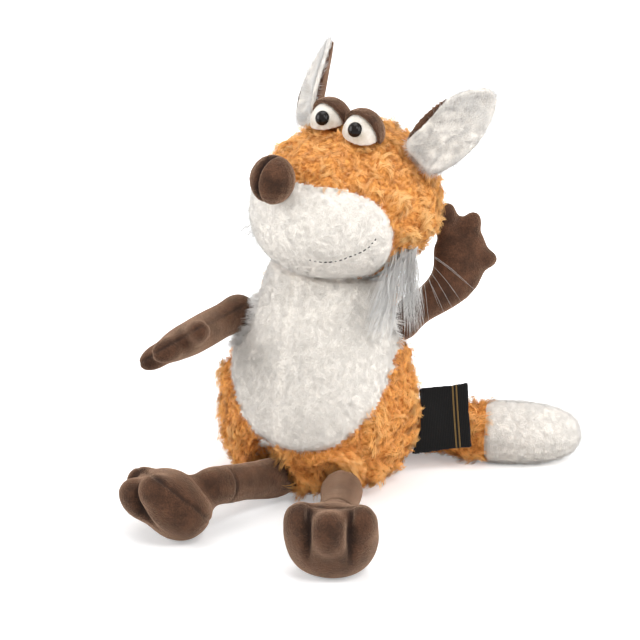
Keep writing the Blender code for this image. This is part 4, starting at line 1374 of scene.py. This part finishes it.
def tuft_axes(node):
    """Top, ways and spans of a tuft along it, across it and through it, from its CAD points."""
    points = cad_points(node)
    middle = points.mean(axis=0)
    ways = np.linalg.svd(points - middle, full_matrices=False)[2]
    along = ways[0] if ways[0][2] < 0 else -ways[0]
    spans = [np.ptp(points @ way) for way in (along, ways[1], ways[2])]
    top = middle + along * ((points @ along).min() - middle @ along)
    return Vector(top), Vector(along), Vector(ways[1]), Vector(ways[2]), spans


def clear_of_body(point):
    """Hair lies on the plush and never in it."""
    for tree in (trunk_tree, head_tree):
        near, normal, _, _ = tree.find_nearest(point)
        if (point - near).dot(normal) < TUFT_GAP:
            point = near + normal * TUFT_GAP
    return point


def hanging(start, end, bow):
    """Points from start to end that bow out and wander a little."""
    wave = rng.uniform(-1, 1, 6)
    points = []
    for step in range(HAIR_STEPS + 1):
        share = step / HAIR_STEPS
        drift = Vector(wave[:3]) * math.sin(4 * share + 3 * wave[3]) * share * HAIR_DRIFT * MM
        points.append(clear_of_body(start.lerp(end, share) + bow * math.sin(math.pi * share) + drift))
    return points


def add_hair(bm, layers, points, half_width):
    """One hair, half_width in mm, with a shade of its own."""
    tip_layer, shade_layer = layers
    before = len(bm.verts)
    add_strand(bm, points, half_width * MM, tip_layer)
    bm.verts.ensure_lookup_table()
    shade = float(rng.uniform(0, 1))
    for vert in bm.verts[before:]:
        vert[shade_layer] = shade


def cheek_tuft(side, seam, count, fans, strays):
    """count hairs fill the tuft.  Each fan adds hairs that start along the seam and end in a box.

    Boxes and strays are places right of and above the tuft's top in mm, as the camera sees them.
    """
    top, along, across, depth, spans = tuft_axes(side + "_cheek_tuft")
    bm = bmesh.new()
    layers = (bm.verts.layers.float.new("tip"), bm.verts.layers.float.new("shade"))

    def as_seen(right, up):
        return top + (VIEW_RIGHT * right + VIEW_UP * up) * MM

    def seam_place():
        share = rng.uniform(0, 1)
        right, up = (low + (high - low) * share for low, high in seam)
        return as_seen(right + rng.uniform(-1, 1), up + rng.uniform(-1, 1)) + depth * rng.uniform(-2, 2) * MM

    for _ in range(count):
        turn, out = rng.uniform(0, 2 * math.pi), math.sqrt(rng.uniform(0, 1))
        sideways = across * math.cos(turn) * out * spans[1] / 2 + depth * math.sin(turn) * out * spans[2] / 2
        end = top + along * spans[0] * rng.uniform(0.7, 1.02) + sideways * rng.uniform(0.4, 1.2)
        start = top.lerp(seam_place(), 0.5) + sideways * 0.4
        add_hair(bm, layers, hanging(start, end, sideways * 0.9), rng.uniform(0.12, 0.18))
    for box, number in fans:
        for _ in range(number):
            end = as_seen(*(rng.uniform(low, high) for low, high in box)) + depth * rng.uniform(-2, 2) * MM
            add_hair(bm, layers, hanging(seam_place(), end, VIEW_UP * 2 * MM), rng.uniform(0.11, 0.18))
    for right, up in strays:
        add_hair(bm, layers, hanging(seam_place(), as_seen(right, up), VIEW_UP * 3 * MM), 0.12)
    bmesh.ops.recalc_face_normals(bm, faces=bm.faces)
    # Its lighter white is painted light against the shade under the head.
    tuft = new_piece(side + "_tuft", mesh_from(bm, side + "_tuft"), shade_lifted_tuft_pile)
    outward = np.tile(TUFT_OUTWARD[side], (len(tuft.data.vertices), 1))
    keep_values(tuft.data, "outward", outward.ravel(), "FLOAT_VECTOR")
    soften_light(tuft.data, TUFT_SOFT_LIGHT)
    hand_over(tuft, "head", "white_plush", side + "_cheek_tuft")
    print(tuft.name, len(tuft.data.polygons), "faces, spans", [round(float(span) / MM) for span in spans])


cheek_tuft(
    "left",
    seam=((-9, 4), (7, 2)),
    count=160,
    fans=((((-26, -8), (-54, -34)), 210), (((-6, 9), (-52, -26)), 190)),
    strays=((40, -25), (27, -37), (23, -42), (13, -47), (8, -50), (35, -21), (31, -30), (18, -33)),
)
cheek_tuft(
    "right",
    seam=((-6, 4), (10, -2)),
    count=90,
    fans=((((-18, -2), (-30, -4)), 110), (((-24, -8), (-16, 14)), 60)),
    strays=((-27, 14), (-25, 9), (-26, 18), (-22, -20)),
)

# %% [markdown]
# ## Side label
# The label is black satin ribbon, folded and sewn into the side seam.  It stays bare of lettering
# and carries two plain woven lines.  A real ribbon is never quite flat, so it bows a little.

# %% Label
LABEL_FACE = Vector((math.sin(LABEL_TURN), -math.cos(LABEL_TURN), 0))
BOW_HEIGHT = 0.8 * MM
BOW_LENGTH = 9 * MM


def label_bow(point, normal):
    out = (point - JOINT_PLACES["label"]).length
    side = 1 if normal.dot(LABEL_FACE) > 0 else -1
    return side * BOW_HEIGHT * math.sin(out / BOW_LENGTH) * ease(out, 4 * MM, 20 * MM)


label = press(sewn_form("label_ribbon", ("side_label",), satin, "label"), label_bow)
hand_over(label, "label", "label_satin", "side_label")
